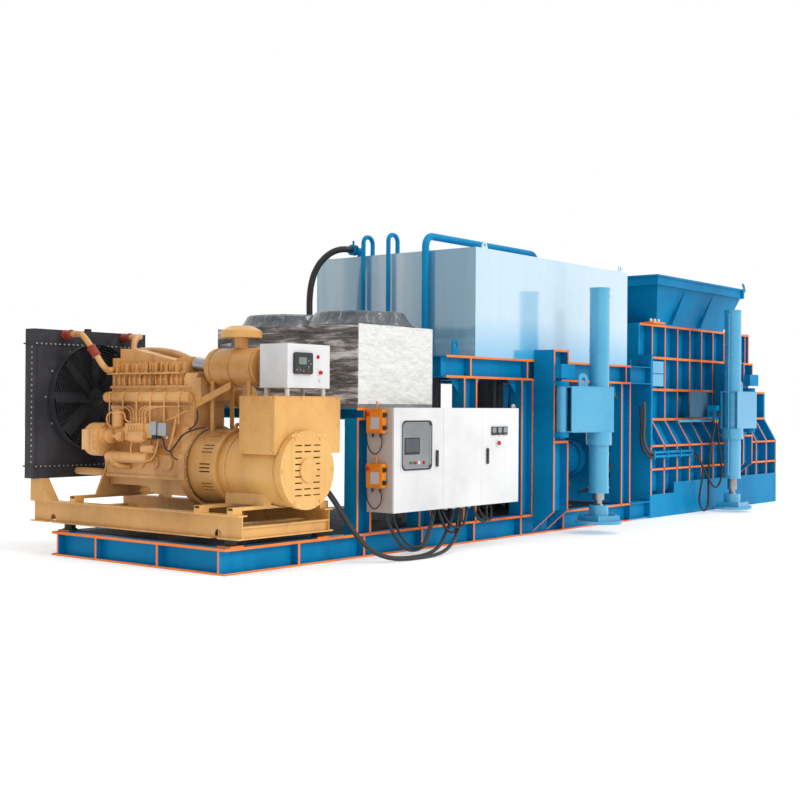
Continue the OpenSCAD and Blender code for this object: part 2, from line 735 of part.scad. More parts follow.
module engine_block() color("goldenrod") place() difference() {
  union() {
    along_y(eng_y, eng_len) polygon([
      [gen_x - eng_w / 2, eng_z], [gen_x + eng_w / 2, eng_z], [gen_x + eng_w / 2, crank_z + crank_r * 2],
      [gen_x + rocker_w / 2, crank_z + crank_r * 4], [gen_x + rocker_w / 2, eng_top],
      [gen_x - rocker_w / 2, eng_top], [gen_x - rocker_w / 2, crank_z + crank_r * 4],
      [gen_x - eng_w / 2, crank_z + crank_r * 2]]);
    // Oil pan with its flange and the deeper sump at the flywheel end
    along_y(eng_y, eng_len) translate([gen_x - eng_w / 2 - plate_t, eng_z - plate_t])
      square([eng_w + 2 * plate_t, 2 * plate_t]);
    along_x(gen_x - eng_w * 0.4, eng_w * 0.8) polygon([[eng_y, eng_z], [eng_y, eng_z - pan_d],
      [eng_y + eng_len * 0.45, eng_z - pan_d], [eng_y + eng_len * 0.55, eng_z - pan_d * 0.55],
      [eng_end, eng_z - pan_d * 0.55], [eng_end, eng_z]]);
    for (i = [0 : cyl_n - 1]) {
      y = eng_y + i * cyl_pitch;
      // Head, rocker cover and crankcase door of one cylinder
      blk([gen_x - rocker_w / 2, y + sheet_t, eng_top], [rocker_w, cyl_pitch - 2 * sheet_t, head_h]);
      along_y(y + plate_t, cyl_pitch - 2 * plate_t) translate([gen_x, head_top]) polygon([
        [-rocker_w * 0.42, 0], [rocker_w * 0.42, 0], [rocker_w * 0.42, rocker_h * 0.6],
        [rocker_w * 0.34, rocker_h], [-rocker_w * 0.34, rocker_h], [-rocker_w * 0.42, rocker_h * 0.6]]);
      rod_x([eng_left - plate_t, y + cyl_pitch / 2, crank_z + crank_r / 2], cyl_pitch * 0.36, plate_t * 2);
      rod_x([gen_x - rocker_w / 2 - plate_t, y + cyl_pitch / 2, crank_z + crank_r * 7], cyl_pitch * 0.3, plate_t * 2);
      blk([gen_x - rocker_w / 2 - plate_t, y - plate_t / 2, crank_z + crank_r * 4],
        [plate_t * 2, plate_t, eng_top - crank_z - crank_r * 4]);
    }
    // Finned air chest over the rocker covers
    along_y(eng_y + cyl_pitch, eng_len - cyl_pitch) translate([gen_x - rocker_w * 0.3, rocker_top])
      square([rocker_w * 0.6, cover_z + cover_h - rocker_top]);
    for (i = [0 : cyl_n * 2]) along_y(eng_y + cyl_pitch + i * (eng_len - cyl_pitch - plate_t) / (cyl_n * 2), plate_t)
      translate([gen_x - rocker_w * 0.36, rocker_top - sheet_t]) square([rocker_w * 0.72, cover_h + plate_t]);
    along_x(gen_x - rocker_w * 0.22, rocker_w * 0.44) polygon([[eng_y + cyl_pitch * 1.5, cover_top],
      [eng_end, cover_top], [eng_end, cover_top + cover_h * 1.5], [eng_end - cyl_pitch, cover_top + cover_h * 1.4]]);
    // Inlet casting that takes the air hose
    along_x(gen_x - intake_r - plate_t, 2 * (intake_r + plate_t)) polygon([[eng_y + cyl_pitch, cover_top - plate_t],
      [eng_y + cyl_pitch, inlet_top], [eng_y + cyl_pitch * 1.6, inlet_top], [eng_y + cyl_pitch * 2.6, cover_top - plate_t]]);
    // Gear case at the fan end
    along_y(eng_end, gear_t) translate([gen_x, crank_z]) {
      circle(r = eng_w * 0.42);
      translate([-eng_w * 0.42, 0]) square([eng_w * 0.84, crank_r * 6]);
      translate([0, fan_z - crank_z]) circle(r = rocker_w * 0.3);
      translate([-rocker_w * 0.3, 0]) square([rocker_w * 0.6, inlet_z - crank_z]);
    }
    // Case of the pump drive beside the gear case, and the casting at the flywheel end
    along_y(eng_end - gear_t, gear_t * 2) translate([eng_left - drive_r / 2, crank_z + drive_r * 1.4]) {
      circle(r = drive_r);
      square([drive_r * 2, drive_r * 1.2], center = true);
    }
    along_y(housing_y, eng_y - housing_y + cyl_pitch / 2) translate([gen_x - rocker_w / 2, eng_top])
      square([rocker_w, head_h + rocker_h * 0.6]);
    // Flywheel housing
    along_y(housing_y, fly_len) translate([gen_x, crank_z]) {
      circle(r = housing_r);
      translate([-housing_r, -housing_r * 0.3]) square([2 * housing_r, housing_r * 0.6]);
    }
    engine_feet();
  }
  // Crankshaft bore and the flywheel's space
  rod_y([gen_x, housing_y - cut, crank_z], fly_r + run_gap, fly_len - plate_t + cut);
  rod_y([gen_x, housing_y - cut, crank_z], crank_r + run_fit, eng_len + fly_len + gear_t + 2 * cut);
  rod_y([gen_x, eng_end - cyl_pitch / 2, fan_z], fan_shaft_r + run_fit, cyl_pitch / 2 + gear_t + cut);
}

// Manifolds, turbocharger, injector lines and the pipes above the engine
pipe_r = 46;
hose_r = 40;
drive_r = 180;
line_r = 8;
turbo_r = 120;
// Top of the gear case, where the charge air pipe starts
inlet_z = cover_top + hose_r * 1.5;
// Route of the charge air pipe over the engine, from the gear case to the turbocharger
charge_x = gen_x + rocker_w * 0.4;
charge_z = cover_top + cover_h * 1.28;
turbo_x = gen_x + rocker_w / 2 + pipe_r * 2.7;
manifold_x = gen_x - rocker_w / 2 - pipe_r * 1.4;
charge_start = [gen_x + rocker_w * 0.2, gear_y - pipe_r * 0.9, inlet_z];
charge_route = [charge_start, charge_start + [0, 0, pipe_r * 0.4], charge_start + [0, 0, pipe_r * 0.8],
  [gen_x + rocker_w * 0.36, gear_y - pipe_r * 1.1, charge_z - pipe_r * 0.3], [charge_x, eng_end - pipe_r, charge_z],
  [charge_x, eng_end - cyl_pitch * 0.7, charge_z], [charge_x, eng_end - cyl_pitch * 1.4, charge_z - pipe_r * 0.1],
  [charge_x, eng_end - cyl_pitch * 2.1, charge_z - pipe_r * 0.4], [charge_x + pipe_r * 0.3, eng_end - cyl_pitch * 2.9, charge_z - pipe_r * 1.1],
  [charge_x + pipe_r * 0.8, eng_end - cyl_pitch * 3.7, charge_z - pipe_r * 2.6],
  [charge_x + pipe_r * 1.3, eng_end - cyl_pitch * 4.3, charge_z - pipe_r * 4.5], [charge_x + pipe_r * 1.8, eng_y + cyl_pitch * 1.2, charge_z - pipe_r * 6.4],
  [turbo_x - pipe_r, eng_y + cyl_pitch * 0.5, eng_top + pipe_r * 3.4], [turbo_x, eng_y - turbo_r * 0.3, eng_top + pipe_r * 2]];
module engine_pipes() color("peru") place() {
  tube(charge_route, pipe_r, 2);
  rod_y([manifold_x, eng_y, eng_top + pipe_r / 2], pipe_r, eng_len);
  for (i = [0 : cyl_n - 1]) {
    y = eng_y + (i + 0.5) * cyl_pitch;
    rod_x([manifold_x, y, eng_top + pipe_r / 2], pipe_r * 0.8, pipe_r * 1.4);
    rod_x([gen_x + rocker_w / 2, y, eng_top + pipe_r], pipe_r, pipe_r * 2);
    rod_z([gen_x - rocker_w / 2 - pipe_r * 2.6, y, pump_top], line_r, eng_top + pipe_r * 2 - pump_top);
    rod_x([gen_x - rocker_w / 2 - pipe_r * 2.6, y, eng_top + pipe_r * 2 - line_r], line_r, pipe_r * 2.6);
  }
  rod_y([turbo_x, eng_y, eng_top + pipe_r], pipe_r * 1.3, eng_len);
  // Turbocharger at the flywheel end of the exhaust manifold
  for (k = [0 : 2])
    rod_y([turbo_x, eng_y - turbo_r * (k + 1) * 0.7, eng_top + pipe_r],
      turbo_r * (k == 1 ? 0.6 : 1), turbo_r * 0.7 + cut);
  pump_group();
}

// Injection pump, governor, filter and oil cooler on the engine's left side
pump_w = 150;
pump_top = crank_z + eng_w * 0.8;
pump_y = eng_y + eng_len * 0.46;
module pump_group() {
  x = gen_x - rocker_w / 2 - pump_w - plate_t;
  blk([x, pump_y, pump_top - pump_w * 1.2], [pump_w, eng_len * 0.22, pump_w * 1.2]);
  rod_y([x + pump_w / 2, pump_y + eng_len * 0.22, pump_top - pump_w * 0.6], pump_w * 0.4,
    eng_end - gear_t - pump_y - eng_len * 0.22);
  for (i = [0 : cyl_n - 1])
    rod_z([x + pump_w / 2, pump_y + (i + 0.5) * eng_len * 0.22 / cyl_n, pump_top], line_r * 1.6, line_r * 4);
  // Governor
  blk([x + plate_t, eng_y + eng_len * 0.22, pump_top - pump_w], [pump_w - plate_t, eng_len * 0.24, pump_w]);
  rod_y([x + pump_w * 0.55, eng_y + eng_len * 0.2, pump_top - pump_w / 2], pump_w * 0.42, eng_len * 0.05);
  // Fuel filter and oil cooler
  rod_z([x + pump_w / 2, eng_end - cyl_pitch, pump_top - pump_w * 0.4], pump_w * 0.45, pump_w * 1.4);
  blk([x + pump_w / 3, eng_end - cyl_pitch * 1.4, pump_top + pump_w],
    [pump_w * 2 / 3, cyl_pitch * 0.8, plate_t * 2]);
  cooler_x = eng_left - plate_t - pump_w * 0.45;
  rod_y([cooler_x, eng_y + cyl_pitch * 2.4, crank_z + crank_r * 1.4], pump_w * 0.4, cyl_pitch * 3);
  blk([cooler_x, eng_y + cyl_pitch * 3, crank_z + crank_r], [pump_w * 0.45, cyl_pitch, crank_r]);
}

// Coolant pipes with their hoses, from the radiator's top and bottom tank
port_z = rad_top - rad_tank_h * 0.3;
port_a = gen_x - rad_w * 0.25;
port_b = gen_x + rad_w * 0.28;
cover_side = rocker_w * 0.3;
// Route of each upper pipe, from its radiator port to the side of the gear case
route_a = [[port_a, rad_y, port_z], [port_a, rad_y - hose_r * 2.5, port_z], [port_a, rad_y - hose_r * 6, port_z],
  [port_a - pipe_r * 0.1, rad_y - hose_r * 8, port_z - pipe_r * 0.2], [port_a + hose_r * 0.5, rad_y - hose_r * 10, port_z - hose_r * 2.4],
  [port_a + hose_r * 1.4, rad_y - hose_r * 12.5, port_z - hose_r * 6], [port_a + hose_r * 2.3, gear_y - hose_r, port_z - hose_r * 8.6],
  [port_a + hose_r * 4, gear_y - hose_r, port_z - hose_r * 9.9], [port_a + hose_r * 5.4, gear_y - hose_r, port_z - hose_r * 9.9],
  [gen_x - cover_side, gear_y - hose_r, port_z - hose_r * 9.9]];
route_b = [[port_b, rad_y, port_z], [port_b, rad_y - hose_r * 2.5, port_z], [port_b, rad_y - hose_r * 5.5, port_z],
  [port_b - hose_r * 0.4, rad_y - hose_r * 8, port_z], [port_b - hose_r * 2.2, rad_y - hose_r * 9.7, port_z],
  [port_b - hose_r * 4.2, rad_y - hose_r * 10.4, port_z - hose_r * 1.4], [port_b - hose_r * 5, rad_y - hose_r * 11, port_z - hose_r * 4],
  [port_b - hose_r * 5.4, rad_y - hose_r * 12.6, port_z - hose_r * 6.6], [port_b - hose_r * 6.2, gear_y - hose_r, port_z - hose_r * 8],
  [port_b - hose_r * 7, gear_y - hose_r, port_z - hose_r * 8], [gen_x + cover_side, gear_y - hose_r, port_z - hose_r * 8]];
module coolant_hoses() color("saddlebrown") place() {
  tube(route_a, hose_r * 0.85, 3);
  tube(route_b, hose_r * 0.85, 3);
  // Rubber sleeves at the radiator, and the lower hose
  for (x = [port_a, port_b]) rod_y([x, rad_y - hose_r * 2.5, port_z], hose_r * 1.1, hose_r * 2.5);
  rod_y([gen_x - eng_w * 0.36, gear_y, rad_z + rad_bottom / 2], hose_r, rad_y - shroud_t - gear_y);
}

// Radiator and its fan guard

shroud_y = rad_y - shroud_len;
core_z = rad_z + rad_bottom;
core_top = rad_top - rad_tank_h;
rad_x = gen_x - rad_w / 2;
fin_pitch = 30;
module radiator() color("dimgray") place() {
  // Frame, with the core's fins standing in it
  along_y(rad_y, rad_d) translate([rad_x, rad_z]) difference() {
    square([rad_w, rad_top - rad_z]);
    translate([rad_side, rad_bottom]) square([rad_w - 2 * rad_side, core_top - core_z]);
  }
  blk([rad_x + rad_side - cut, rad_y + rad_d * 0.4, core_z - cut],
    [rad_w - 2 * rad_side + 2 * cut, rad_d * 0.25, core_top - core_z + 2 * cut]);
  for (x = [rad_x + rad_side + fin_pitch : fin_pitch : rad_x + rad_w - rad_side - fin_pitch])
    blk([x, rad_y + rad_d * 0.3, core_z], [sheet_t, rad_d * 0.45, core_top - core_z]);
  // Flange rows under the top tank and over the bottom one
  for (z = [core_z - plate_t, core_top])
    blk([rad_x - plate_t, rad_y - plate_t, z], [rad_w + 2 * plate_t, rad_d + 2 * plate_t, plate_t]);
  // Filler neck
  rod_z([gen_x, rad_y + rad_d / 2, rad_top], hose_r, plate_t * 2);
  // Shroud ring and the plate that carries it
  along_y(shroud_y, shroud_len) translate([gen_x, fan_z]) difference() {
    circle(r = shroud_r + shroud_t);
    circle(r = shroud_r);
  }
  along_y(rad_y - shroud_t, shroud_t) difference() {
    translate([rad_x + rad_side / 2, core_z - rad_bottom / 2])
      square([rad_w - rad_side, core_top - core_z + rad_bottom / 2]);
    translate([gen_x, fan_z]) circle(r = shroud_r);
  }
  fan_guard();
}

// Flat wire guard in front of the fan, with a hole for the fan's shaft
guard_y = shroud_y - wire;
guard_hole = pulley_fan_r + plate_t;
module fan_guard() along_y(guard_y, wire) translate([gen_x, fan_z]) {
  for (i = [0 : guard_rings]) {
    r = guard_hole + i * (shroud_r - guard_hole) / guard_rings;
    difference() {
      circle(r = r + wire);
      circle(r = r);
    }
  }
  for (a = [0 : 30 : 330]) rotate(a) translate([guard_hole, -wire / 2])
    square([shroud_r + shroud_t - guard_hole, wire]);
}

// Fan with its shaft, and the belt drive

shaft_y = eng_end - cyl_pitch / 3;
belt_y = gear_y + plate_t * 2;
fan_y = shroud_y + run_gap * 5;
fan_depth = shroud_len - run_gap * 10;
module engine_fan() color("black") place() translate([gen_x, 0, fan_z]) {
  rod_y([0, shaft_y, 0], fan_shaft_r, fan_y + fan_depth - shaft_y);
  rod_y([0, belt_y, 0], pulley_fan_r, belt_w);
  rod_y([0, fan_y, 0], pulley_fan_r, fan_depth);
  for (a = [0 : 360 / fan_blades : 359]) rotate([0, a, 0])
    translate([0, fan_y + fan_depth / 2, 0]) rotate([0, 0, blade_pitch])
      translate([-vane_w / 2, -sheet_t, pulley_fan_r * 0.8]) cube([vane_w, sheet_t * 2, fan_r - pulley_fan_r * 0.8]);
}

module crank_rotor() color("silver") place() translate([gen_x, 0, crank_z]) {
  rod_y([0, alt_y + plate_t, 0], crank_r, belt_y + belt_w + plate_t - alt_y - plate_t);
  // Exciter and main rotor of the alternator, flywheel and pulley
  rod_y([0, 0, 0], rotor_r / 2, alt_wall * 1.5);
  rod_y([0, alt_wall * 2.5, 0], rotor_r, alt_ring_y - alt_wall * 4.5);
  rod_y([0, alt_ring_y + alt_wall * 1.5, 0], alt_disc_r * 2, alt_wall * 2);
  rod_y([0, housing_y + run_gap, 0], fly_r, fly_len - plate_t - 2 * run_gap);
  rod_y([0, belt_y, 0], pulley_crank_r, belt_w);
}

// Outline of a belt round two pulleys one above the other, widened by g
belt_run = fan_z - crank_z;
function belt_side(g) = let(d = (pulley_crank_r - pulley_fan_r) / belt_run, c = sqrt(1 - d * d))
  [[(pulley_crank_r + g) * c, (pulley_crank_r + g) * d],
   [(pulley_fan_r + g) * c, belt_run + (pulley_fan_r + g) * d],
   [-(pulley_fan_r + g) * c, belt_run + (pulley_fan_r + g) * d],
   [-(pulley_crank_r + g) * c, (pulley_crank_r + g) * d]];
module belt_shape(g) {
  circle(r = pulley_crank_r + g);
  translate([0, belt_run]) circle(r = pulley_fan_r + g);
  polygon(belt_side(g));
}
module drive_belt() color("black") place() along_y(belt_y, belt_w) translate([gen_x, crank_z]) difference() {
  belt_shape(belt_t + seat_gap);
  belt_shape(seat_gap);
}

// Alternator

alt_end = alt_y + alt_cover_t;
rotor_r = alt_r - alt_wall * 2;
module alternator() color("goldenrod") place() {
  difference() {
    union() {
      along_y(alt_end, alt_ring_y - alt_end) translate([gen_x, crank_z]) circle(r = alt_r, $fn = 72);
      rod_y([gen_x, alt_ring_y, crank_z], alt_ring_r, plate_t * 2.5);
      rod_y([gen_x, alt_ring_y + plate_t * 2.5, crank_z], alt_ring_r - plate_t, housing_y - alt_ring_y - plate_t * 2.5);
      // Feet along both sides
      for (s = [-1, 1])
        blk([gen_x + s * alt_r * 0.62 - alt_wall, 0, alt_rail_z], [2 * alt_wall, alt_foot_len, alt_r * 0.66]);
      // Seam rings and lifting eye
      for (y = [alt_end + alt_wall, alt_ring_y - alt_wall * 2])
        rod_y([gen_x, y, crank_z], alt_r + sheet_t * 2, plate_t);
      along_y(alt_ring_y + plate_t * 4, plate_t * 2) translate([gen_x, crank_z + alt_ring_r]) difference() {
        circle(r = alt_wall);
        circle(r = alt_wall / 2);
      }
    }
    // Stator space, the fan's space and the shaft's way
    rod_y([gen_x, alt_end - cut, crank_z], rotor_r + run_gap, alt_ring_y - alt_end + alt_wall);
    rod_y([gen_x, alt_ring_y + alt_wall - 2 * cut, crank_z], alt_disc_r * 2 + run_gap * 2,
      housing_y - alt_ring_y - alt_wall + 3 * cut);
    // Air slots round the fan's housing
    for (a = [-60 : 30 : 240]) translate([gen_x, alt_ring_y + alt_wall * 2, crank_z]) rotate([0, -a, 0])
      for (k = [-1, 0, 1]) translate([0, 0, k * louvre_pitch - louvre_h / 2])
        cube([alt_ring_r + cut, alt_wall * 3, louvre_h]);
  }
}

module alternator_cover() color("goldenrod") place() difference() {
  union() {
    rod_y([gen_x, alt_y, crank_z], alt_cover_r, alt_cover_t);
    rod_y([gen_x, alt_y - plate_t, crank_z], alt_disc_r, plate_t);
    for (a = [30 : 60 : 330]) translate([gen_x, alt_y - plate_t / 2, crank_z]) rotate([0, a, 0])
      translate([0, 0, alt_cover_r - plate_t * 2]) rotate([-90, 0, 0]) cylinder(r = plate_t, h = plate_t, $fn = 6);
  }
  rod_y([gen_x, alt_y + plate_t, crank_z], crank_r + run_fit, alt_cover_t);
  rod_y([gen_x, alt_y + plate_t * 2, crank_z], rotor_r, alt_cover_t);
  // Louvres: columns of slots, left out where the round middle plate stands
  for (i = [-4 : 4], s = [-1, 0, 1]) {
    z = i * louvre_pitch * 1.6;
    x = s * (louvre_w + louvre_pitch / 2) * 1.1;
    if (s != 0 || abs(z) > alt_disc_r + louvre_h)
      if (norm([abs(x) + louvre_w / 2, z]) < alt_cover_r - plate_t * 2)
        blk([gen_x + x - louvre_w / 2, alt_y - cut, crank_z + z - louvre_h / 2],
          [louvre_w, plate_t * 2 + 2 * cut, louvre_h]);
  }
}

// Cable glands from the terminal box's left edge, and their depth
term_gland = [855, 915];
term_gland_y = 50;
// Terminal box over the alternator, cut to the barrel's curve
module terminal_box() color("goldenrod") place() {
  y = alt_end + plate_t;
  difference() {
    blk([term_x, y, term_z], [term_w, term_d, term_top - term_z]);
    rod_y([gen_x, y - cut, crank_z], alt_r + sheet_t * 2, term_d + 2 * cut);
    blk([term_x + sheet_t, y + sheet_t, term_z + sheet_t], [term_w - 2 * sheet_t, term_d - 2 * sheet_t,
      term_top - term_z - sheet_t + cut]);
  }
  for (x = term_gland) rod_z([term_x + x, term_gland_y, term_z - gland_h], gland_r, gland_h);
  for (s = [0, 1]) blk([term_x + s * (term_w - plate_t * 2), y + sheet_t, crank_z + alt_r],
    [plate_t * 2, term_d - 2 * sheet_t, term_top - crank_z - alt_r - sheet_t]);
  // Lid with its folded edge
  blk([term_x - sheet_t, y - sheet_t, term_top], [term_w + 2 * sheet_t, term_d + 2 * sheet_t, sheet_t]);
}

// Control box on dampers, with its emergency stop

ctl_x = gen_x - ctl_w * 0.24;
ctl_y = alt_end + plate_t * 4.5;
ctl_z = term_top + ctl_lift;
estop_x = ctl_x + ctl_w * 0.76;
estop_z = ctl_z + ctl_h * 0.36;
estop_r = 20;
module control_box() color("white") place() {
  difference() {
    blk([ctl_x, ctl_y, ctl_z], [ctl_w, ctl_d, ctl_h]);
    blk([ctl_x + sheet_t, ctl_y + sheet_t, ctl_z + sheet_t], [ctl_w - 2 * sheet_t, ctl_d - 2 * sheet_t, ctl_h - 2 * sheet_t]);
    rod_y([estop_x, ctl_y - cut, estop_z], estop_r * 0.5 + run_fit, sheet_t + 2 * cut);
  }
  // Controller's frame and screen, key switch
  blk([ctl_x + ctl_w * 0.14, ctl_y - sheet_t * 2, ctl_z + ctl_h * 0.34], [ctl_w * 0.4, sheet_t * 2, ctl_h * 0.44]);
  rod_y([estop_x, ctl_y - plate_t, ctl_z + ctl_h * 0.18], estop_r * 0.7, plate_t);
  // Dampers
  for (x = [ctl_x + plate_t * 3, ctl_x + ctl_w - plate_t * 3], y = [ctl_y + plate_t * 3, ctl_y + ctl_d - plate_t * 3])
    rod_z([x, y, term_top + sheet_t], plate_t * 1.5, ctl_lift - sheet_t);
}
module genset_estop() color("red") place() {
  rod_y([estop_x, ctl_y - plate_t - sheet_t * 2, estop_z], estop_r, plate_t);
  rod_y([estop_x, ctl_y - sheet_t * 2 - cut, estop_z], estop_r * 0.5, plate_t * 2);
}

// Air cleaner with its rain cap and ribbed hose

air_y = ctl_y + ctl_d + plate_t * 4;
air_end = air_y + air_len;
cap_z = air_z + air_r + stem_r * 2;
hose_ribs = 12;
intake_r = 54;
// Rise of the air hose in degrees, and the top of the casting it ends in
hose_tilt = 9;
hose_rise = (eng_y + cyl_pitch - air_end) * tan(hose_tilt);
inlet_top = air_z + hose_rise + intake_r + plate_t;
module air_filter() color("goldenrod") place() {
  rod_y([gen_x, air_y, air_z], air_r, air_len);
  for (k = [0.06, 0.5, 0.9]) rod_y([gen_x, air_y + k * air_len, air_z], air_r + sheet_t * 2, plate_t * 2);
  rod_y([gen_x, air_y - plate_t, air_z], air_r * 0.55, plate_t);
  // Rain cap on its stem
  rod_z([gen_x, air_y + air_len * 0.5, air_z + air_r - cut], stem_r, stem_r * 2 + cut);
  translate([gen_x, air_y + air_len * 0.5, cap_z - stem_r / 2]) {
    cylinder(r = cap_r, h = stem_r);
    translate([0, 0, stem_r]) cylinder(r1 = cap_r, r2 = cap_r * 0.55, h = stem_r * 0.7);
  }
  // Ribbed hose, rising from the cleaner to the engine's inlet casting
  difference() {
    translate([gen_x, air_end - plate_t, air_z]) rotate([hose_tilt - 90, 0, 0]) difference() {
      union() {
        cylinder(r = intake_r, h = hose_len);
        for (i = [1 : hose_ribs - 1]) translate([0, 0, hose_len * i / hose_ribs])
          cylinder(r = intake_r + sheet_t * 3, h = hose_len * 0.35 / hose_ribs);
      }
      translate([0, 0, plate_t * 3]) cylinder(r = intake_r - sheet_t * 2, h = hose_len);
    }
    blk([gen_x - air_r, eng_y + cyl_pitch, air_z - air_r], [2 * air_r, air_r, 2 * air_r]);
  }
  // Legs down to the alternator's barrel and its fan housing
  for (leg = [[0.1, alt_r], [0.86, alt_ring_r - plate_t]], s = [-1, 1]) difference() {
    blk([gen_x + s * air_r * 0.7 - plate_t / 2, air_y + air_len * leg[0], crank_z + leg[1] * 0.85],
      [plate_t, plate_t * 3, air_z - air_r * 0.6 - crank_z - leg[1] * 0.85]);
    rod_y([gen_x, air_y, crank_z], leg[1] + seat_gap, air_len);
  }
}
hose_len = (eng_y + cyl_pitch - air_end) / cos(hose_tilt) + intake_r;

// Cooler

cool_right = cool_x + cool_w;
cool_top = cool_z + cool_h;
fan_mid = [cool_x + cool_w / 2, cool_d / 4, cool_top];
coil_t = 90;
module cooler_case() color("silver") place() {
  difference() {
    blk([cool_x, 0, cool_z], [cool_w, cool_d, cool_h]);
    blk([cool_x + coil_t, coil_t, cool_z + coil_t], [cool_w - 2 * coil_t, cool_d - 2 * coil_t, cool_h - coil_t - plate_t]);
    for (k = [1, 3]) rod_z([fan_mid[0], cool_d * k / 4, cool_top - plate_t - cut], cool_fan_r, plate_t + 2 * cut);
  }
  for (k = [1, 3]) {
    y = cool_d * k / 4;
    // Fan ring, motor on its cross bars, and the guard's rings
    along_z(cool_top, cool_ring_h) translate([fan_mid[0], y]) difference() {
      circle(r = cool_fan_r + plate_t);
      circle(r = cool_fan_r);
    }
    along_z(cool_top + cool_ring_h, wire) translate([fan_mid[0], y]) union() {
      for (i = [1 : 6]) difference() {
        circle(r = (cool_fan_r + plate_t) * i / 6);
        circle(r = (cool_fan_r + plate_t) * i / 6 - wire);
      }
      for (a = [0 : 45 : 315]) rotate(a) translate([0, -wire / 2]) square([cool_fan_r + plate_t / 2, wire]);
    }
    for (a = [0, 90]) translate([fan_mid[0], y, cool_top - plate_t * 2]) rotate([0, 0, a])
      translate([-cool_fan_r - plate_t, -plate_t, 0]) cube([2 * cool_fan_r + 2 * plate_t, plate_t * 2, plate_t]);
    rod_z([fan_mid[0], y, cool_top - coil_t * 2], coil_t, coil_t * 2 - plate_t);
    rod_z([fan_mid[0], y, cool_top - coil_t * 2], fan_shaft_r, coil_t * 2 + cool_ring_h / 2);
    if (k == 3) cooler_blades(y);
  }
}
module cooler_blades(y) {
  rod_z([fan_mid[0], y, cool_top - plate_t + seat_gap], coil_t * 0.8, cool_ring_h * 0.6);
  for (a = [0 : 72 : 288]) translate([fan_mid[0], y, cool_top + cool_ring_h * 0.25]) rotate([0, 0, a])
    rotate([blade_pitch, 0, 0]) translate([coil_t * 0.6, -vane_w / 2, -sheet_t])
      cube([cool_fan_r - run_gap * 8 - coil_t * 0.6, vane_w, sheet_t * 2]);
}
module cooler_fan() color("black") place() difference() {
  cooler_blades(fan_mid[1]);
  rod_z([fan_mid[0], fan_mid[1], cool_top - plate_t - cut], fan_shaft_r + run_fit, cool_ring_h);
}
// Protective film round the sides and over the fans' rings
film_low = cool_z + coil_t / 2;
module cooler_film() color("whitesmoke") place() {
  along_z(film_low, cool_top - film_low) translate([cool_x - film_t, -film_t]) difference() {
    square([cool_w + 2 * film_t, cool_d + 2 * film_t]);
    translate([film_t, film_t]) square([cool_w, cool_d]);
  }
  // Tent of film over each fan ring, its skirt spread on the cooler's top
  for (k = [1, 3]) translate([fan_mid[0], cool_d * k / 4, cool_top]) difference() {
    cylinder(r1 = cool_d / 4 - film_t, r2 = cool_fan_r + plate_t * 1.5, h = cool_ring_h + wire + film_t);
    translate([0, 0, -cut]) cylinder(r = cool_fan_r + plate_t, h = cool_ring_h + wire + cut);
  }
}

// Electrical cabinet

cab_w = cab_left_w + cab_mid_w + cab_right_w;
cab_y = -cab_front;
cab_top = cab_z + cab_h;
case_y = cab_y + door_t + seat_gap;
cab_seam_a = cab_x + cab_left_w;
cab_seam_b = cab_seam_a + cab_mid_w;
cab_right_x = cab_x + cab_w;
hinge_r = 9;
module cabinet_case() color("white") place() {
  difference() {
    blk([cab_x, case_y, cab_z], [cab_w, cab_d - door_t - seat_gap, cab_h]);
    for (d = [[cab_x, cab_left_w], [cab_seam_a, cab_mid_w], [cab_seam_b, cab_right_w]])
      blk([d[0] + door_t, case_y - cut, cab_z + door_t],
        [d[1] - 2 * door_t, cab_d - 2 * door_t - seat_gap + cut, cab_h - 2 * door_t]);
  }
  // Lifting eye and cable glands
  along_y(case_y + plate_t, plate_t) translate([cab_right_x - plate_t * 3, cab_top + plate_t]) difference() {
    circle(r = plate_t * 2);
    circle(r = plate_t);
  }
  for (i = [0 : 4]) rod_z([cab_x + gland_first + i * gland_pitch, cab_y + gland_in, cab_z - gland_h], gland_r, gland_h);
}
// Cable glands under the cabinet and under the terminal box
gland_r = 28;
gland_h = 36;
gland_first = 1156;
gland_pitch = 150;
gland_in = 180;
module cabinet_gear() color("gray") place() {
  for (d = [[cab_x, cab_left_w], [cab_seam_a, cab_mid_w], [cab_seam_b, cab_right_w]]) {
    x = d[0] + door_t * 3;
    w = d[1] - 6 * door_t;
    y = cab_y + cab_d - door_t - sheet_t;
    blk([x, y, cab_z + door_t * 2], [w, sheet_t, cab_h - 4 * door_t]);
    for (k = [0.2, 0.45, 0.7]) blk([x + door_t, y - door_t / 2, cab_z + cab_h * k], [w - 2 * door_t, door_t / 2, door_t]);
    for (k = [0.2, 0.45, 0.7], j = [0 : 3])
      blk([x + w * (0.1 + 0.22 * j), y - door_t * 5.5, cab_z + cab_h * k - door_t * 2], [w * 0.14, door_t * 5, door_t * 5]);
  }
}
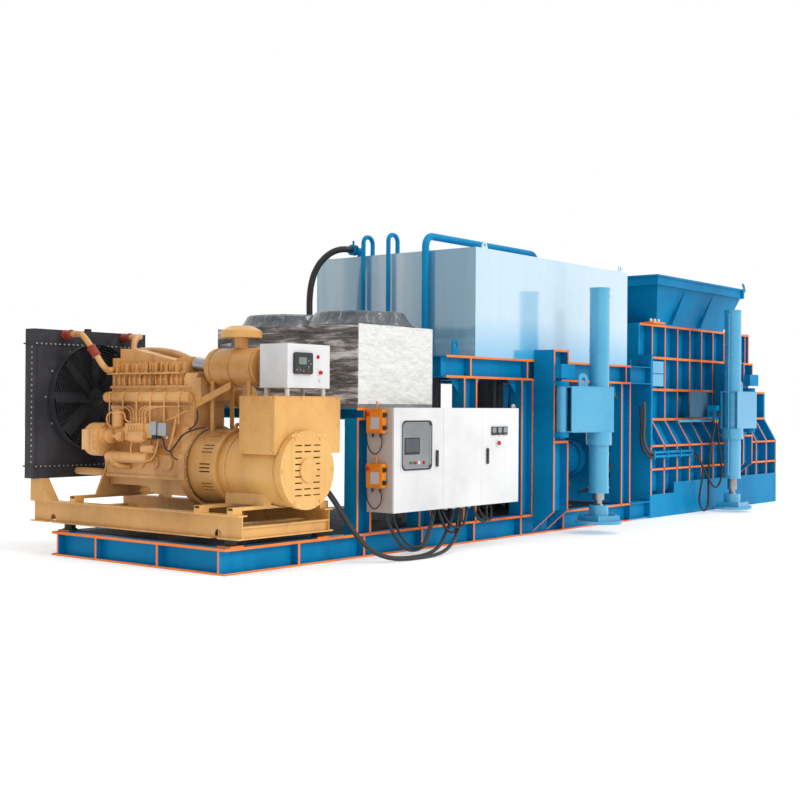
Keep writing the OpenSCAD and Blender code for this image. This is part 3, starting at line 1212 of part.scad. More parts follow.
// A door with its folded edge: x from its left edge, width w
module door_sheet(x, w) {
  blk([x + run_gap / 2, cab_y, cab_z], [w - run_gap, sheet_t, cab_h]);
  along_y(cab_y + sheet_t - cut / 4, door_t - sheet_t + cut / 4) translate([x + run_gap / 2, cab_z])
    tube_shape(w - run_gap, cab_h, sheet_t);
}
window_x = cab_x + win_x;
window_z = cab_z + win_z;
button_x = [for (k = [0.538, 0.618, 0.696, 0.797]) window_x - win_x + cab_left_w * k - cab_left_w * 0.2];
button_place = cab_z + button_z;
handle_x = [cab_seam_a - cab_left_w * 0.15, cab_seam_b + cab_right_w * 0.13];
handle_z = button_place + handle_l * 0.28;
module handle_hole(i) {
  rod_y([handle_x[i], cab_y - cut, handle_z], hinge_r + run_fit, sheet_t + 2 * cut);
}
module door_left() color("white") place() difference() {
  union() {
    door_sheet(cab_x, cab_left_w);
    // Frame, pane and screen of the window
    along_y(cab_y - sheet_t * 2, sheet_t * 2) translate([window_x, window_z]) tube_shape(win_w, win_h, handle_w);
    along_y(cab_y + sheet_t, sheet_t) translate([window_x, window_z]) square([win_w, win_h]);
  }
  for (i = [0, 1]) rod_y([button_x[i], cab_y - cut, button_place], button_r * 0.6 + run_fit, sheet_t + 2 * cut);
  handle_hole(0);
  along_y(cab_y - sheet_t * 3, sheet_t * 4 + cut / 4) translate([window_x + handle_w, window_z + handle_w])
    square([win_w - 2 * handle_w, win_h - 2 * handle_w]);
}
module door_mid() color("white") place() door_sheet(cab_seam_a, cab_mid_w);
module door_right() color("white") place() difference() {
  union() {
    door_sheet(cab_seam_b, cab_right_w);
    // Three meters and the main switch's collar
    for (i = [0 : 2]) blk([cab_seam_b + cab_right_w * (0.25 + 0.15 * i), cab_y - sheet_t * 2, cab_z + cab_h * 0.725],
      [cab_right_w * 0.11, sheet_t * 2, cab_right_w * 0.11]);
    rod_y([cab_seam_b + cab_right_w * 0.41, cab_y - sheet_t * 4, cab_z + cab_h * 0.635], button_r * 1.3, sheet_t * 4);
  }
  handle_hole(1);
}
// A swing handle with its spindle through the door
module handle(i) {
  along_y(cab_y - sheet_t * 6 - seat_gap, sheet_t * 4) translate([handle_x[i], handle_z]) {
    translate([-handle_w / 2, -handle_l / 2]) square([handle_w, handle_l * 0.9]);
    translate([0, handle_l * 0.4]) circle(r = handle_w / 2);
    translate([0, -handle_l / 2]) circle(r = handle_w / 2);
  }
  rod_y([handle_x[i], cab_y - sheet_t * 3, handle_z], hinge_r, sheet_t * 6);
}
module handle_left() color("black") place() handle(0);
module handle_right() color("black") place() handle(1);
// A push button with its stem through the door
module button(i) {
  rod_y([button_x[i], cab_y - button_travel - sheet_t * 2.5, button_place], button_r, sheet_t * 2);
  rod_y([button_x[i], cab_y - button_travel - sheet_t, button_place], button_r * 0.6, sheet_t * 2 + button_travel * 2);
}
module start_button() color("green") place() button(0);
module stop_button() color("red") place() button(1);

// Radio receivers on the cabinet's left side
module radio_receivers() color("orange") place() {
  for (z = [cab_z + cab_h * 0.24, cab_z + cab_h * 0.76]) {
    y = cab_y + cab_d / 2 - radio_s / 2 + plate_t;
    blk([cab_x - radio_t, y, z], [radio_t - plate_t, radio_s, radio_h]);
    blk([cab_x - radio_t - sheet_t * 2, y + plate_t, z + plate_t], [sheet_t * 2, radio_s - 2 * plate_t, radio_h - 2 * plate_t]);
    for (zz = [z + plate_t, z + radio_h - plate_t * 3])
      blk([cab_x - plate_t, y - plate_t, zz], [plate_t, radio_s + 2 * plate_t, plate_t * 2]);
    for (k = [0.25, 0.75]) rod_z([cab_x - radio_t / 2, y + radio_s * k, z - plate_t], plate_t * 0.6, plate_t);
    rod_z([cab_x - radio_t / 2, y + radio_s / 2, z + radio_h], plate_t / 2, radio_h / 3);
  }
}

// Tank

tank_z = ring_top;
tank_top = tank_z + tank_h;
tank_right = tank_x + tank_len;
manhole_r = 260;
vent_y = [tank_d * 0.508, tank_d * 0.668];
return_y = tank_d * 0.278;
pipe_x = tank_x - return_r - plate_t;
return_x = tank_x + tank_len * 0.65;
module tank() color("steelblue") place() {
  difference() {
    blk([tank_x, 0, tank_z], [tank_len, tank_d, tank_h]);
    blk([tank_x + sheet_t * 2, sheet_t * 2, tank_z + sheet_t * 2],
      [tank_len - 4 * sheet_t, tank_d - 4 * sheet_t, tank_h - 4 * sheet_t]);
    rod_z([tank_x + tank_len * 0.3, tank_d / 2, tank_top - sheet_t * 2 - cut], manhole_r, sheet_t * 2 + 2 * cut);
  }
  // Manhole lid with its bolts, filler and breather
  rod_z([tank_x + tank_len * 0.3, tank_d / 2, tank_top], manhole_r + plate_t * 3, plate_t);
  for (a = [0 : 30 : 330]) bolt_z([tank_x + tank_len * 0.3 + (manhole_r + plate_t * 1.5) * cos(a),
    tank_d / 2 + (manhole_r + plate_t * 1.5) * sin(a), tank_top + plate_t], plate_t * 0.8, plate_t * 0.8);
  rod_z([tank_x + tank_len * 0.5, tank_d * 0.3, tank_top], vent_r * 2, vent_r * 3);
  // Lifting lugs at the corners
  for (x = [tank_x + lug_w, tank_right - lug_w * 2], y = [sheet_t, tank_d - plate_t - sheet_t])
    along_y(y, plate_t) translate([x, tank_top]) difference() {
      polygon([[0, 0], [lug_w, 0], [lug_w * 0.75, lug_w * 0.6], [lug_w * 0.25, lug_w * 0.6]]);
      translate([lug_w / 2, lug_w * 0.3]) circle(r = lug_w * 0.14);
    }
}

// A bent pipe in an upright plane along X: straight runs and quarter bends, drawn from its start
module bend_xz(p, r, turn) {
  // turn 0: up then right, 1: right then down
  translate(p) rotate([90, 0, 0]) translate([turn == 0 ? bend_k * r : 0, turn == 0 ? 0 : -bend_k * r, 0])
    rotate([0, 0, turn == 0 ? 90 : 0]) rotate_extrude(angle = 90) translate([bend_k * r, 0]) circle(r = r);
}
// Pipe from the left at height z0, up to z1 and over the tank's edge to x1, then down into its top
module over_pipe(x0, y, z0, r, z1, x1) {
  b = bend_k * r;
  rod_x([x0, y, z0], r, pipe_x - b - x0);
  translate([pipe_x - b, y, z0 + b]) rotate([90, 0, 0]) rotate([0, 0, 270])
    rotate_extrude(angle = 90) translate([b, 0]) circle(r = r);
  rod_z([pipe_x, y, z0 + b], r, z1 - z0 - 2 * b);
  bend_xz([pipe_x, y, z1 - b], r, 0);
  rod_x([pipe_x + b, y, z1], r, x1 - pipe_x - 2 * b);
  bend_xz([x1 - b, y, z1], r, 1);
  rod_z([x1, y, tank_top], r, z1 - b - tank_top);
  rod_z([x1, y, tank_top], r * 1.5, plate_t);
}
over_h = 240;
// Stub pipe on the ring beam and valve on the tank, joined by the black suction hose
suction_r = 40;
stub_y = tank_d - beam_w * 1.8;
suction_y = tank_d * 0.734;
suction_z = tank_top + suction_r * 2;
module tank_pipes() color("steelblue") place() {
  rod_z([ring_x + beam_w / 2, stub_y, ring_top], suction_r, suction_r * 3);
  rod_z([ring_x + beam_w / 2, stub_y, ring_top], suction_r * 1.8, plate_t);
  rod_x([tank_x - suction_r * 2.5, suction_y, suction_z], suction_r, suction_r * 4.5);
  for (k = [0, 1.5]) rod_x([tank_x - suction_r * 2.5 + suction_r * k, suction_y, suction_z], suction_r * 1.7, plate_t);
  rod_z([tank_x + suction_r * 2, suction_y, tank_top], suction_r, suction_r * 2);
  translate([tank_x + suction_r * 2, suction_y, suction_z]) sphere(r = suction_r);
  rod_z([tank_x - suction_r * 1.5, suction_y, suction_z], suction_r / 3, suction_r * 3);
  for (y = vent_y) over_pipe(cool_right + film_t, y, cool_top - coil_t * 1.5, vent_r, tank_top + over_h, pipe_x + bend_k * vent_r * 2 + plate_t);
  over_pipe(valve_x + valve_len, return_y, valve_z, return_r, tank_top + over_h * 0.75, return_x);
}

// Hydraulics on the deck

valve_len = 500;
valve_d = 520;
valve_h = 260;
valve_x = cool_right + plate_t * 6;
valve_y = return_y - valve_d / 2;
valve_z = ring_z - ring_h * 1.6;
line_big = 24;
motor_z = deck_top + motor_r + plate_t * 3;
motor_y = [mid_y - motor_off, mid_y + motor_off];
pump_x = motor_x + motor_len + pump_r;
outlet_x = pump_x + pump_len * 0.6;

// Cooling fins round a motor, as one outline
module motor_shape() {
  circle(r = motor_r * 0.86);
  for (a = [0 : 15 : 345]) rotate(a) translate([0, -sheet_t]) square([motor_r, sheet_t * 2]);
}
module pump_sets() color("dimgray") place() for (y = motor_y) {
  blk([motor_x, y - motor_r * 0.9, deck_top], [motor_len + pump_len, motor_r * 1.8, plate_t]);
  for (x = [motor_x + plate_t * 2, motor_x + motor_len - plate_t * 8], s = [-1, 1])
    blk([x, y + s * motor_r * 0.6 - plate_t * 3, deck_top], [plate_t * 6, plate_t * 6, motor_r * 0.7]);
  along_x(motor_x + plate_t * 4, motor_len - plate_t * 8) translate([y, motor_z]) motor_shape();
  rod_x([motor_x, y, motor_z], motor_r * 0.94, plate_t * 4);
  rod_x([motor_x + motor_len - plate_t * 4, y, motor_z], motor_r * 0.94, plate_t * 4);
  blk([motor_x + motor_len * 0.35, y - motor_r * 0.4, motor_z + motor_r * 0.8], [motor_len * 0.3, motor_r * 0.8, motor_r * 0.6]);
  // Bell housing and pump
  rod_x([motor_x + motor_len, y, motor_z], motor_r * 0.7, pump_r * 0.9);
  rod_x([pump_x - pump_r * 0.1, y, motor_z], pump_r, pump_len);
  blk([outlet_x - pump_r / 2, y - pump_r / 2, motor_z], [pump_r, pump_r, pump_r * 1.3]);
}

// Valve manifold on its stand, with the pressure lines to pumps and main cylinder
cyl_x = box_x - main_len - plate_t * 2;
port_x = [cyl_x + main_r, box_x - main_flange_t - main_r];
line_z = valve_z - plate_t * 2;
module line_elbow(p) { translate(p) sphere(r = line_big); }
module valve_block() color("gray") place() {
  for (x = [valve_x, valve_x + valve_len - plate_t * 4], y = [valve_y, valve_y + valve_d - plate_t * 4])
    blk([x, y, deck_top], [plate_t * 4, plate_t * 4, valve_z - valve_h / 2 - deck_top]);
  blk([valve_x, valve_y, valve_z - valve_h / 2 - plate_t], [valve_len, valve_d, plate_t]);
  blk([valve_x, valve_y + plate_t * 2, valve_z - valve_h / 2], [valve_len, valve_d - plate_t * 4, valve_h]);
  for (i = [0 : 4]) {
    x = valve_x + valve_len * (0.1 + 0.18 * i);
    blk([x, valve_y + plate_t * 5, valve_z + valve_h / 2], [valve_len * 0.12, valve_d * 0.55, plate_t * 4]);
    for (s = [0, 1]) rod_y([x + valve_len * 0.06, valve_y + plate_t * 2 + s * valve_d * 0.62, valve_z + valve_h / 2 + plate_t * 2],
      plate_t * 1.4, plate_t * 4);
  }
  // Lines from the pumps
  for (i = [0, 1]) {
    y = i == 0 ? motor_y[0] : return_y + valve_d * 0.3;
    z = line_z - i * line_big * 3;
    rod_x([valve_x + valve_len, y, z], line_big, outlet_x - valve_x - valve_len);
    line_elbow([outlet_x, y, z]);
    if (i == 1) {
      rod_y([outlet_x, y, z], line_big, motor_y[1] - y);
      line_elbow([outlet_x, motor_y[1], z]);
    }
    rod_z([outlet_x, motor_y[i], motor_z + pump_r * 1.3], line_big, z - motor_z - pump_r * 1.3);
  }
  // Lines to both ends of the main cylinder
  for (i = [0, 1]) {
    z = line_z - line_big * (6 + 3 * i);
    y = return_y + valve_d * (0.36 - 0.1 * i);
    rod_x([valve_x + valve_len, y, z], line_big, port_x[i] - valve_x - valve_len);
    line_elbow([port_x[i], y, z]);
    rod_y([port_x[i], y, z], line_big, mid_y - y);
    line_elbow([port_x[i], mid_y, z]);
    rod_z([port_x[i], mid_y, main_z + main_r + plate_t * 2], line_big, z - main_z - main_r - plate_t * 2);
  }
}

piston_len = 240;
gland_len = 160;
module main_cylinder() color("steelblue") place() {
  difference() {
    union() {
      rod_x([cyl_x, mid_y, main_z], main_r, main_len + plate_t * 2);
      rod_x([cyl_x - plate_t * 2, mid_y, main_z], main_r + plate_t, plate_t * 6);
      rod_x([box_x - main_flange_t - gland_len, mid_y, main_z], main_r + plate_t * 1.5, gland_len);
      along_x(box_x - main_flange_t, main_flange_t) translate([mid_y - main_flange / 2, main_z - main_flange / 2])
        square(main_flange);
      for (x = port_x) rod_z([x, mid_y, main_z], line_big * 2.2, main_r + plate_t * 2);
    }
    rod_x([cyl_x + plate_t * 3, mid_y, main_z], main_bore, main_len - gland_len - main_flange_t - plate_t);
    rod_x([cyl_x + plate_t * 3, mid_y, main_z], main_rod + run_fit, main_len + cut);
  }
  // Bolts round the flange, saddles on the deck
  for (a = [0 : 30 : 330]) translate([box_x - main_flange_t, mid_y, main_z]) rotate([a, 0, 0])
    translate([0, 0, main_r + plate_t * 3]) rotate([0, -90, 0]) bolt_z([0, 0, 0], plate_t * 1.3, plate_t * 1.2);
  for (x = [cyl_x + main_len * 0.15, cyl_x + main_len * 0.72]) difference() {
    blk([x, mid_y - main_r, deck_top], [plate_t * 8, 2 * main_r, main_z - deck_top]);
    rod_x([x - cut, mid_y, main_z], main_r - cut / 8, plate_t * 8 + 2 * cut);
    blk([x - cut, mid_y - main_r * 0.5, deck_top + plate_t], [plate_t * 8 + 2 * cut, main_r, main_z - main_r - deck_top - 3 * plate_t]);
  }
}

// Shear box

rib_pitch = (box_len - plate_t) / rib_bays;
up_end = box_end - end_len;
wall_in = rib_d + wall_t;
floor_low = floor_z - floor_t;
throat_left = box_x + throat_x;
throat_right = throat_left + throat_len;

// Heights at which a stretch of the wall from z0 to z1 starts, folds and ends
function levels(z0, z1) = concat([z0], z0 < fold_a && fold_a < z1 ? [fold_a] : [],
  z0 < fold_b && fold_b < z1 ? [fold_b] : [], [z1]);
function turned(list) = [for (i = [len(list) - 1 : -1 : 0]) list[i]];
// Outline of the chamber between two heights, inside the wall's outer face by g
function slice(z0, z1, g) = let(zs = levels(z0, z1)) concat([for (z = zs) [box_wall(z) + g, z]],
  [for (z = turned(zs)) [body_w - box_wall(z) - g, z]]);
// Outline of the near wall between two heights, from depth g0 to depth g1
function wall_line(z0, z1, g0, g1) = let(zs = levels(z0, z1)) concat([for (z = zs) [box_wall(z) + g0, z]],
  [for (z = turned(zs)) [box_wall(z) + g1, z]]);

// Grid of ribs and bars: between heights of the list zs, from x0 to x1
module wall_grid(x1, zs) difference() {
  translate([box_x, zs[0]]) square([x1 - box_x, zs[len(zs) - 1] - zs[0]]);
  for (i = [0 : rib_bays - 1], j = [0 : len(zs) - 2]) {
    left = box_x + plate_t + i * rib_pitch;
    right = min(left + rib_pitch - plate_t, x1 - plate_t);
    low = zs[j] + (j == 0 ? 0 : bar_t / 2);
    high = zs[j + 1] - (j == len(zs) - 2 ? bar_t : bar_t / 2);
    if (right - left > plate_t) translate([left, low]) square([right - left, high - low]);
  }
}
skirt_top = skirt_b - bar_t;
knife_x = up_end - knife_back;
knife_z = floor_z + seat_gap + ram_h + run_gap;
front_x = box_x + ram_x + ram_len;
// Left face of the walls behind the end plate, and their length between the end plates
inner_x = box_x + end_t;
inner_len = box_len - 2 * end_t;

// Keeps what stands between the two end plates
module between_ends() intersection() {
  children();
  blk([inner_x, 0, 0], [inner_len, body_w, box_top]);
}
// Side walls with their ribs and bars: a lower and an upper panel on each side
module box_walls() color("steelblue") place() between_ends() both_sides() {
  along_x(box_x, box_len) polygon(wall_line(floor_low, fold_a, rib_d, wall_in));
  along_y(0, rib_d) wall_grid(box_end, [skirt_top, bar_a, fold_a]);
  // Skirt with its foot flange, and the ribs behind it
  along_y(0, plate_t) polygon([[box_x, 0], [box_end, 0], [box_end, skirt_b],
    [box_x + skirt_len, skirt_b], [box_x + skirt_len, skirt_a], [box_x, skirt_a]]);
  for (i = [0 : rib_bays]) blk([box_x + i * rib_pitch, 0, 0], [plate_t, wall_in, skirt_b]);
  blk([box_x, plate_t, 0], [box_len, rib_d, flange_t]);
  // Upper panel, low over the discharge end
  along_x(box_x, box_len) polygon(wall_line(fold_b, end_top, rib_d, wall_in));
  along_x(box_x, up_end - box_x) polygon(wall_line(end_top, box_top, rib_d, wall_in));
  blk([box_x, set_back, fold_b], [box_len, rib_d, bar_t]);
  along_y(set_back, rib_d) wall_grid(box_end, [fold_b, end_top]);
  along_y(set_back, rib_d) wall_grid(up_end, [end_top, bar_c, box_top]);
}
// Plates between the walls: the sloping folds with their ribs, the floor and the roofs
module box_plates() color("steelblue") place() {
  between_ends() both_sides() {
    along_x(box_x, box_len) polygon(wall_line(fold_a, fold_b, rib_d, wall_in));
    for (i = [0 : rib_bays])
      along_x(box_x + i * rib_pitch, plate_t) polygon(wall_line(fold_a, fold_b, 0, rib_d));
  }
  blk([inner_x, wall_in, floor_low], [inner_len, body_w - 2 * wall_in, floor_t]);
  for (i = [1 : 2 : rib_bays - 1])
    blk([box_x + i * rib_pitch, wall_in, 0], [plate_t, body_w - 2 * wall_in, floor_low]);
  // Roofs left and right of the hopper, the step and the roof over the low end
  roof_y = set_back + wall_in;
  roof_w = body_w - 2 * roof_y;
  for (r = [[inner_x, throat_left], [throat_right, up_end]])
    blk([r[0], roof_y, box_top - end_t * 0.6], [r[1] - r[0], roof_w, end_t * 0.6]);
  blk([up_end - plate_t, roof_y, end_top - end_t / 2], [plate_t, roof_w, box_top - end_top + end_t / 2]);
  blk([up_end - plate_t, roof_y, end_top - end_t / 2], [end_len + plate_t - end_t, roof_w, end_t / 2]);
}
// End plates, left with its ears for the links and right with the discharge mouth, and the blade beam
module box_frames() color("steelblue") place() {
  difference() {
    union() {
      along_x(box_x, end_t) polygon(slice(0, box_top, 0));
      both_sides() along_x(box_x, end_t)
        polygon([[0, fold_a], [0, ring_top + gusset], [set_back, ring_top + gusset], [set_back, fold_b]]);
    }
    rod_x([box_x - cut, mid_y, main_z], main_rod + run_gap, end_t + 2 * cut);
  }
  difference() {
    along_x(box_end - end_t, end_t) polygon(slice(0, end_top, 0));
    along_x(box_end - end_t - cut, end_t + 2 * cut) polygon(slice(floor_z, knife_z, wall_in));
  }
  for (x = [knife_x, knife_x + knife_w - end_t]) along_x(x, end_t) polygon(slice(knife_z, knife_z + knife_h, wall_in + seat_gap));
  for (z = [knife_z, knife_z + knife_h - end_t])
    blk([knife_x, box_wall(fold_b) + wall_in, z], [knife_w, body_w - 2 * (box_wall(fold_b) + wall_in), end_t]);
  for (k = [1 : 4]) blk([knife_x, wall_in + set_back + k * (body_w - 2 * wall_in - 2 * set_back) / 5, knife_z],
    [knife_w, plate_t, knife_h]);
}

// Ram with its rod and piston, and the two rows of blades

ram_z = floor_z + seat_gap;
ram_gap = 10;
ram_left = box_x + ram_x;
ram_top = ram_z + ram_h;
blade_y = wall_in + box_wall(ram_top) + ram_gap;
blade_w = body_w - 2 * blade_y;
ram_wall = 70;
piston_x = cyl_x + plate_t * 4;
module ram_slide() color("gray") place() {
  difference() {
    along_x(ram_left, ram_len) polygon(slice(ram_z, ram_top, wall_in + ram_gap));
    // Open back between the ram's plates
    for (k = [0 : 3]) blk([ram_left - cut, wall_in + ram_gap + ram_wall + k * ram_cell, ram_z + ram_wall],
      [ram_len - blade_t - ram_wall + cut, ram_cell - ram_wall, fold_a - ram_z - ram_wall]);
    blk([front_x - blade_t, blade_y, ram_top - blade_h], [blade_t + cut, blade_w, blade_h + cut]);
  }
  rod_x([ram_left - plate_t, mid_y, main_z], main_rod * 1.5, ram_len - blade_t - ram_wall);
  rod_x([piston_x, mid_y, main_z], main_rod, ram_left - piston_x + plate_t);
  rod_x([piston_x, mid_y, main_z], main_bore - run_fit, piston_len);
}
ram_cell = (body_w - 2 * (wall_in + ram_gap) - ram_wall) / 4;
// One row of blade segments from a low corner, bolted from the side given by out
module blade_row(x, y, z, w, out) for (i = [0 : blade_n - 1]) {
  seg = w / blade_n;
  difference() {
    blk([x, y + i * seg, z], [blade_t, seg, blade_h]);
    for (j = [0 : blade_bolts - 1])
      rod_x([out > 0 ? x + blade_t - plate_t : x - cut, y + (i + (j + 0.5) / blade_bolts) * seg, z + blade_h / 2],
        blade_bolt_r, plate_t + cut);
  }
}
module ram_blades() color("silver") place()
  blade_row(front_x - blade_t, blade_y, ram_top - blade_h, blade_w, 1);
fixed_y = wall_in + set_back + ram_gap;
module fixed_blades() color("silver") place()
  blade_row(knife_x - blade_t, fixed_y, knife_z, body_w - 2 * fixed_y, -1);

// Hopper

rim_x = box_x + wall_t;
rim_y = -rim_out;
rim_w = body_w + 2 * rim_out;
hop_z = box_top;
hop_top = box_top + hopper_h;
// Frustum between the throat and the rim, inset by g, with its ends run over by o
module hopper_form(g, o) hull() {
  translate([throat_left + g, set_back + g, hop_z - o]) cube([throat_len - 2 * g, body_w - 2 * set_back - 2 * g, plate_t]);
  translate([rim_x + g, rim_y + g, hop_top - plate_t + o]) cube([rim_len - 2 * g, rim_w - 2 * g, plate_t]);
}
module hopper() color("steelblue") place() {
  difference() {
    union() {
      hopper_form(0, 0);
      along_z(hop_top - rim_h, rim_h) translate([rim_x, rim_y]) square([rim_len, rim_w]);
      along_z(hop_top - plate_t * 2, plate_t * 2) translate([rim_x - plate_t, rim_y - plate_t])
        square([rim_len + 2 * plate_t, rim_w + 2 * plate_t]);
    }
    hopper_form(hopper_t, cut);
    along_z(hop_top - rim_h * 0.9, rim_h) translate([rim_x + hopper_t, rim_y + hopper_t])
      square([rim_len - 2 * hopper_t, rim_w - 2 * hopper_t]);
  }
  // Stiffening ribs on the long sides, and the hooks at the right corners
  both_sides() {
    for (k = [0.3, 0.62]) along_x(rim_x + rim_len * k, plate_t)
      polygon([[set_back + hopper_t / 2, hop_z + plate_t], [rim_y + hopper_t / 2, hop_top - rim_h],
        [rim_y, hop_top - rim_h], [set_back - rib_d * 0.6, hop_z + plate_t]]);
    along_y(rim_y - plate_t * 2, plate_t) translate([rim_x + rim_len - lug_w, hop_top]) difference() {
      circle(r = lug_w * 0.7);
      circle(r = lug_w * 0.35);
      translate([-lug_w, -lug_w]) square([lug_w, lug_w * 2]);
    }
    blk([rim_x + rim_len - lug_w, rim_y - plate_t * 2, hop_top - rim_h], [plate_t * 2, plate_t * 2 + cut, rim_h]);
  }
}

// Pipes and valve on the box's near wall
pipe_low = fold_a - rib_pitch / 4;
wall_pipe_r = 20;
wall_pipe_y = -wall_pipe_r - plate_t;
wall_valve = [box_x + leg_b_x - arm_len - valve_gap, -rib_d * 2, fold_b + plate_t * 2];
// The valve's ports from its middle, and their depth in front of the wall
valve_ports = [-rib_d / 3, rib_d / 3];
valve_port_y = wall_valve[1] + rib_d * 0.2;
module wall_pipes() color("steelblue") place() {
  for (k = [0, 1]) {
    z = pipe_low - k * wall_pipe_r * 3;
    rod_x([box_x + plate_t, wall_pipe_y, z], wall_pipe_r, wall_pipe_len);
    rod_x([box_x + plate_t + wall_pipe_len, wall_pipe_y, z], wall_pipe_r * 1.4, wall_pipe_r * 2);
  }
  for (i = [0 : 2]) blk([box_x + i * rib_pitch, -2 * wall_pipe_r - 1.5 * plate_t, pipe_low - wall_pipe_r * 4.6],
    [plate_t * 2, 2 * wall_pipe_r + 1.5 * plate_t, wall_pipe_r * 6.2]);
  // Valve on its bracket, standing off the folded wall, with two ports below
  blk([wall_valve[0] - rib_d * 1.6, wall_valve[1] + rib_d * 0.5, wall_valve[2]],
    [rib_d * 2.6, set_back - wall_valve[1] - rib_d * 0.5, plate_t]);
  blk([wall_valve[0] - rib_d / 2, wall_valve[1], wall_valve[2] + plate_t], [rib_d, rib_d * 1.2, rib_d * 1.5]);
  for (x = valve_ports) rod_z([wall_valve[0] + x, valve_port_y, wall_valve[2] - plate_t * 2], wall_pipe_r * 0.95, plate_t * 3);
}

// Legs

// Pin places, arm directions and foot heights, near left, near right, far left, far right
legs = [[leg_a_x, -pin_out, -swing_a, foot_gap_a], [box_x + leg_b_x, -pin_out, 180, foot_gap_b],
  [leg_a_x, body_w + pin_out, swing_a, foot_gap_a], [box_x + leg_b_x, body_w + pin_out, 180, foot_gap_b]];
module at_leg(i) place() translate([legs[i][0], legs[i][1], 0]) rotate([0, 0, legs[i][2]]) children();
arm_half = barrel_r + plate_t;
module leg_arm() {
  difference() {
    union() {
      // Knuckle and the box that ties it to the barrel
      rod_z([0, 0, arm_z], lug_r - plate_t, arm_h);
      for (z = [arm_z, arm_z + arm_h - plate_t]) along_z(z, plate_t) {
        circle(r = lug_r - plate_t);
        polygon([[0, lug_r - plate_t], [0, plate_t - lug_r], [pin_r, -arm_half], [arm_len + barrel_r, -arm_half],
          [arm_len + barrel_r, arm_half], [pin_r, arm_half]]);
      }
      for (s = [-1, 1]) blk([pin_r, s * (barrel_r + plate_t / 2 - sheet_t) - plate_t / 2, arm_z],
        [arm_len + barrel_r - pin_r, plate_t, arm_h]);
      blk([arm_len - barrel_r - plate_t * 4, -barrel_r, arm_z], [plate_t, 2 * barrel_r, arm_h]);
      // Barrel with its collar, seam rings and cap
      rod_z([arm_len, 0, barrel_z], barrel_r, barrel_top - barrel_z);
      rod_z([arm_len, 0, arm_z - plate_t - collar_h], collar_r, collar_h + plate_t);
      for (z = [barrel_z, arm_z - collar_h * 2, arm_z + arm_h + collar_h * 3, barrel_top - plate_t * 2])
        rod_z([arm_len, 0, z], barrel_r + sheet_t, plate_t * 2);
      // Feed pipe along the barrel
      rod_z([arm_len + barrel_r + feed_r * 2, 0, barrel_z + plate_t * 4], feed_r, barrel_top - barrel_z - plate_t * 8);
      for (z = [barrel_z + plate_t * 4, barrel_top - plate_t * 6])
        rod_x([arm_len + barrel_bore + cut, 0, z], feed_r * 1.6, barrel_r - barrel_bore + 3.5 * feed_r);
      // Ear on the arm, with its hole
      along_y(-plate_t / 2, plate_t) translate([arm_len * 0.56, arm_z + arm_h]) difference() {
        union() {
          translate([-ear_r, 0]) square([2 * ear_r, ear_r]);
          translate([0, ear_r]) circle(r = ear_r);
        }
        translate([0, ear_r]) circle(r = ear_r * 0.36);
      }
    }
    rod_z([0, 0, arm_z - cut], pin_r + run_fit, arm_h + 2 * cut);
    rod_z([arm_len, 0, barrel_z + gland_len], barrel_bore, barrel_top - barrel_z - gland_len - plate_t * 2);
    rod_z([arm_len, 0, barrel_z - cut], rod_r + run_fit, gland_len + 2 * cut);
  }
}
feed_r = 12;
ear_r = 85;
rod_top_z = barrel_top - plate_t * 24;
leg_piston = 130;
neck_r = 45;
module leg_rod(foot_z) {
  ball_z = foot_z + foot_t + clamp_t + ball_r + sheet_t;
  translate([arm_len, 0, ball_z]) sphere(r = ball_r - run_fit);
  rod_z([arm_len, 0, ball_z], neck_r, ball_r * 1.4);
  rod_z([arm_len, 0, ball_z + ball_r * 1.4], rod_r, rod_top_z - ball_z - ball_r * 1.4 - foot_gap_a + foot_z);
  rod_z([arm_len, 0, rod_top_z - leg_piston - foot_gap_a + foot_z], barrel_bore - run_fit, leg_piston);
}
module leg_foot(foot_z) {
  ball_z = foot_z + foot_t + clamp_t + ball_r + sheet_t;
  difference() {
    union() {
      rod_z([arm_len, 0, foot_z], foot_r, foot_t);
      blk([arm_len - clamp_s / 2, -clamp_s / 2, foot_z + foot_t], [clamp_s, clamp_s, clamp_t]);
      rod_z([arm_len, 0, foot_z + foot_t + clamp_t], cup_r, cup_h);
    }
    translate([arm_len, 0, ball_z]) sphere(r = ball_r);
    rod_z([arm_len, 0, ball_z], sqrt(ball_r * ball_r - pow(cup_h - ball_r - sheet_t, 2)), cup_h);
  }
  for (x = [-1, 1], y = [-1, 1])
    bolt_z([arm_len + x * (clamp_s / 2 - plate_t * 2.5), y * (clamp_s / 2 - plate_t * 2.5), foot_z + foot_t + clamp_t],
      plate_t * 1.2, plate_t);
}
module leg_arm_1() color("steelblue") at_leg(0) leg_arm();
module leg_arm_2() color("steelblue") at_leg(1) leg_arm();
module leg_arm_3() color("steelblue") at_leg(2) leg_arm();
module leg_arm_4() color("steelblue") at_leg(3) leg_arm();
module leg_rod_1() color("silver") at_leg(0) leg_rod(legs[0][3]);
module leg_rod_2() color("silver") at_leg(1) leg_rod(legs[1][3]);
module leg_rod_3() color("silver") at_leg(2) leg_rod(legs[2][3]);
module leg_rod_4() color("silver") at_leg(3) leg_rod(legs[3][3]);
module leg_foot_1() color("steelblue") at_leg(0) leg_foot(legs[0][3]);
module leg_foot_2() color("steelblue") at_leg(1) leg_foot(legs[1][3]);
module leg_foot_3() color("steelblue") at_leg(2) leg_foot(legs[2][3]);
module leg_foot_4() color("steelblue") at_leg(3) leg_foot(legs[3][3]);

// Cables and hoses that lie free, along routes from the machine's left near corner

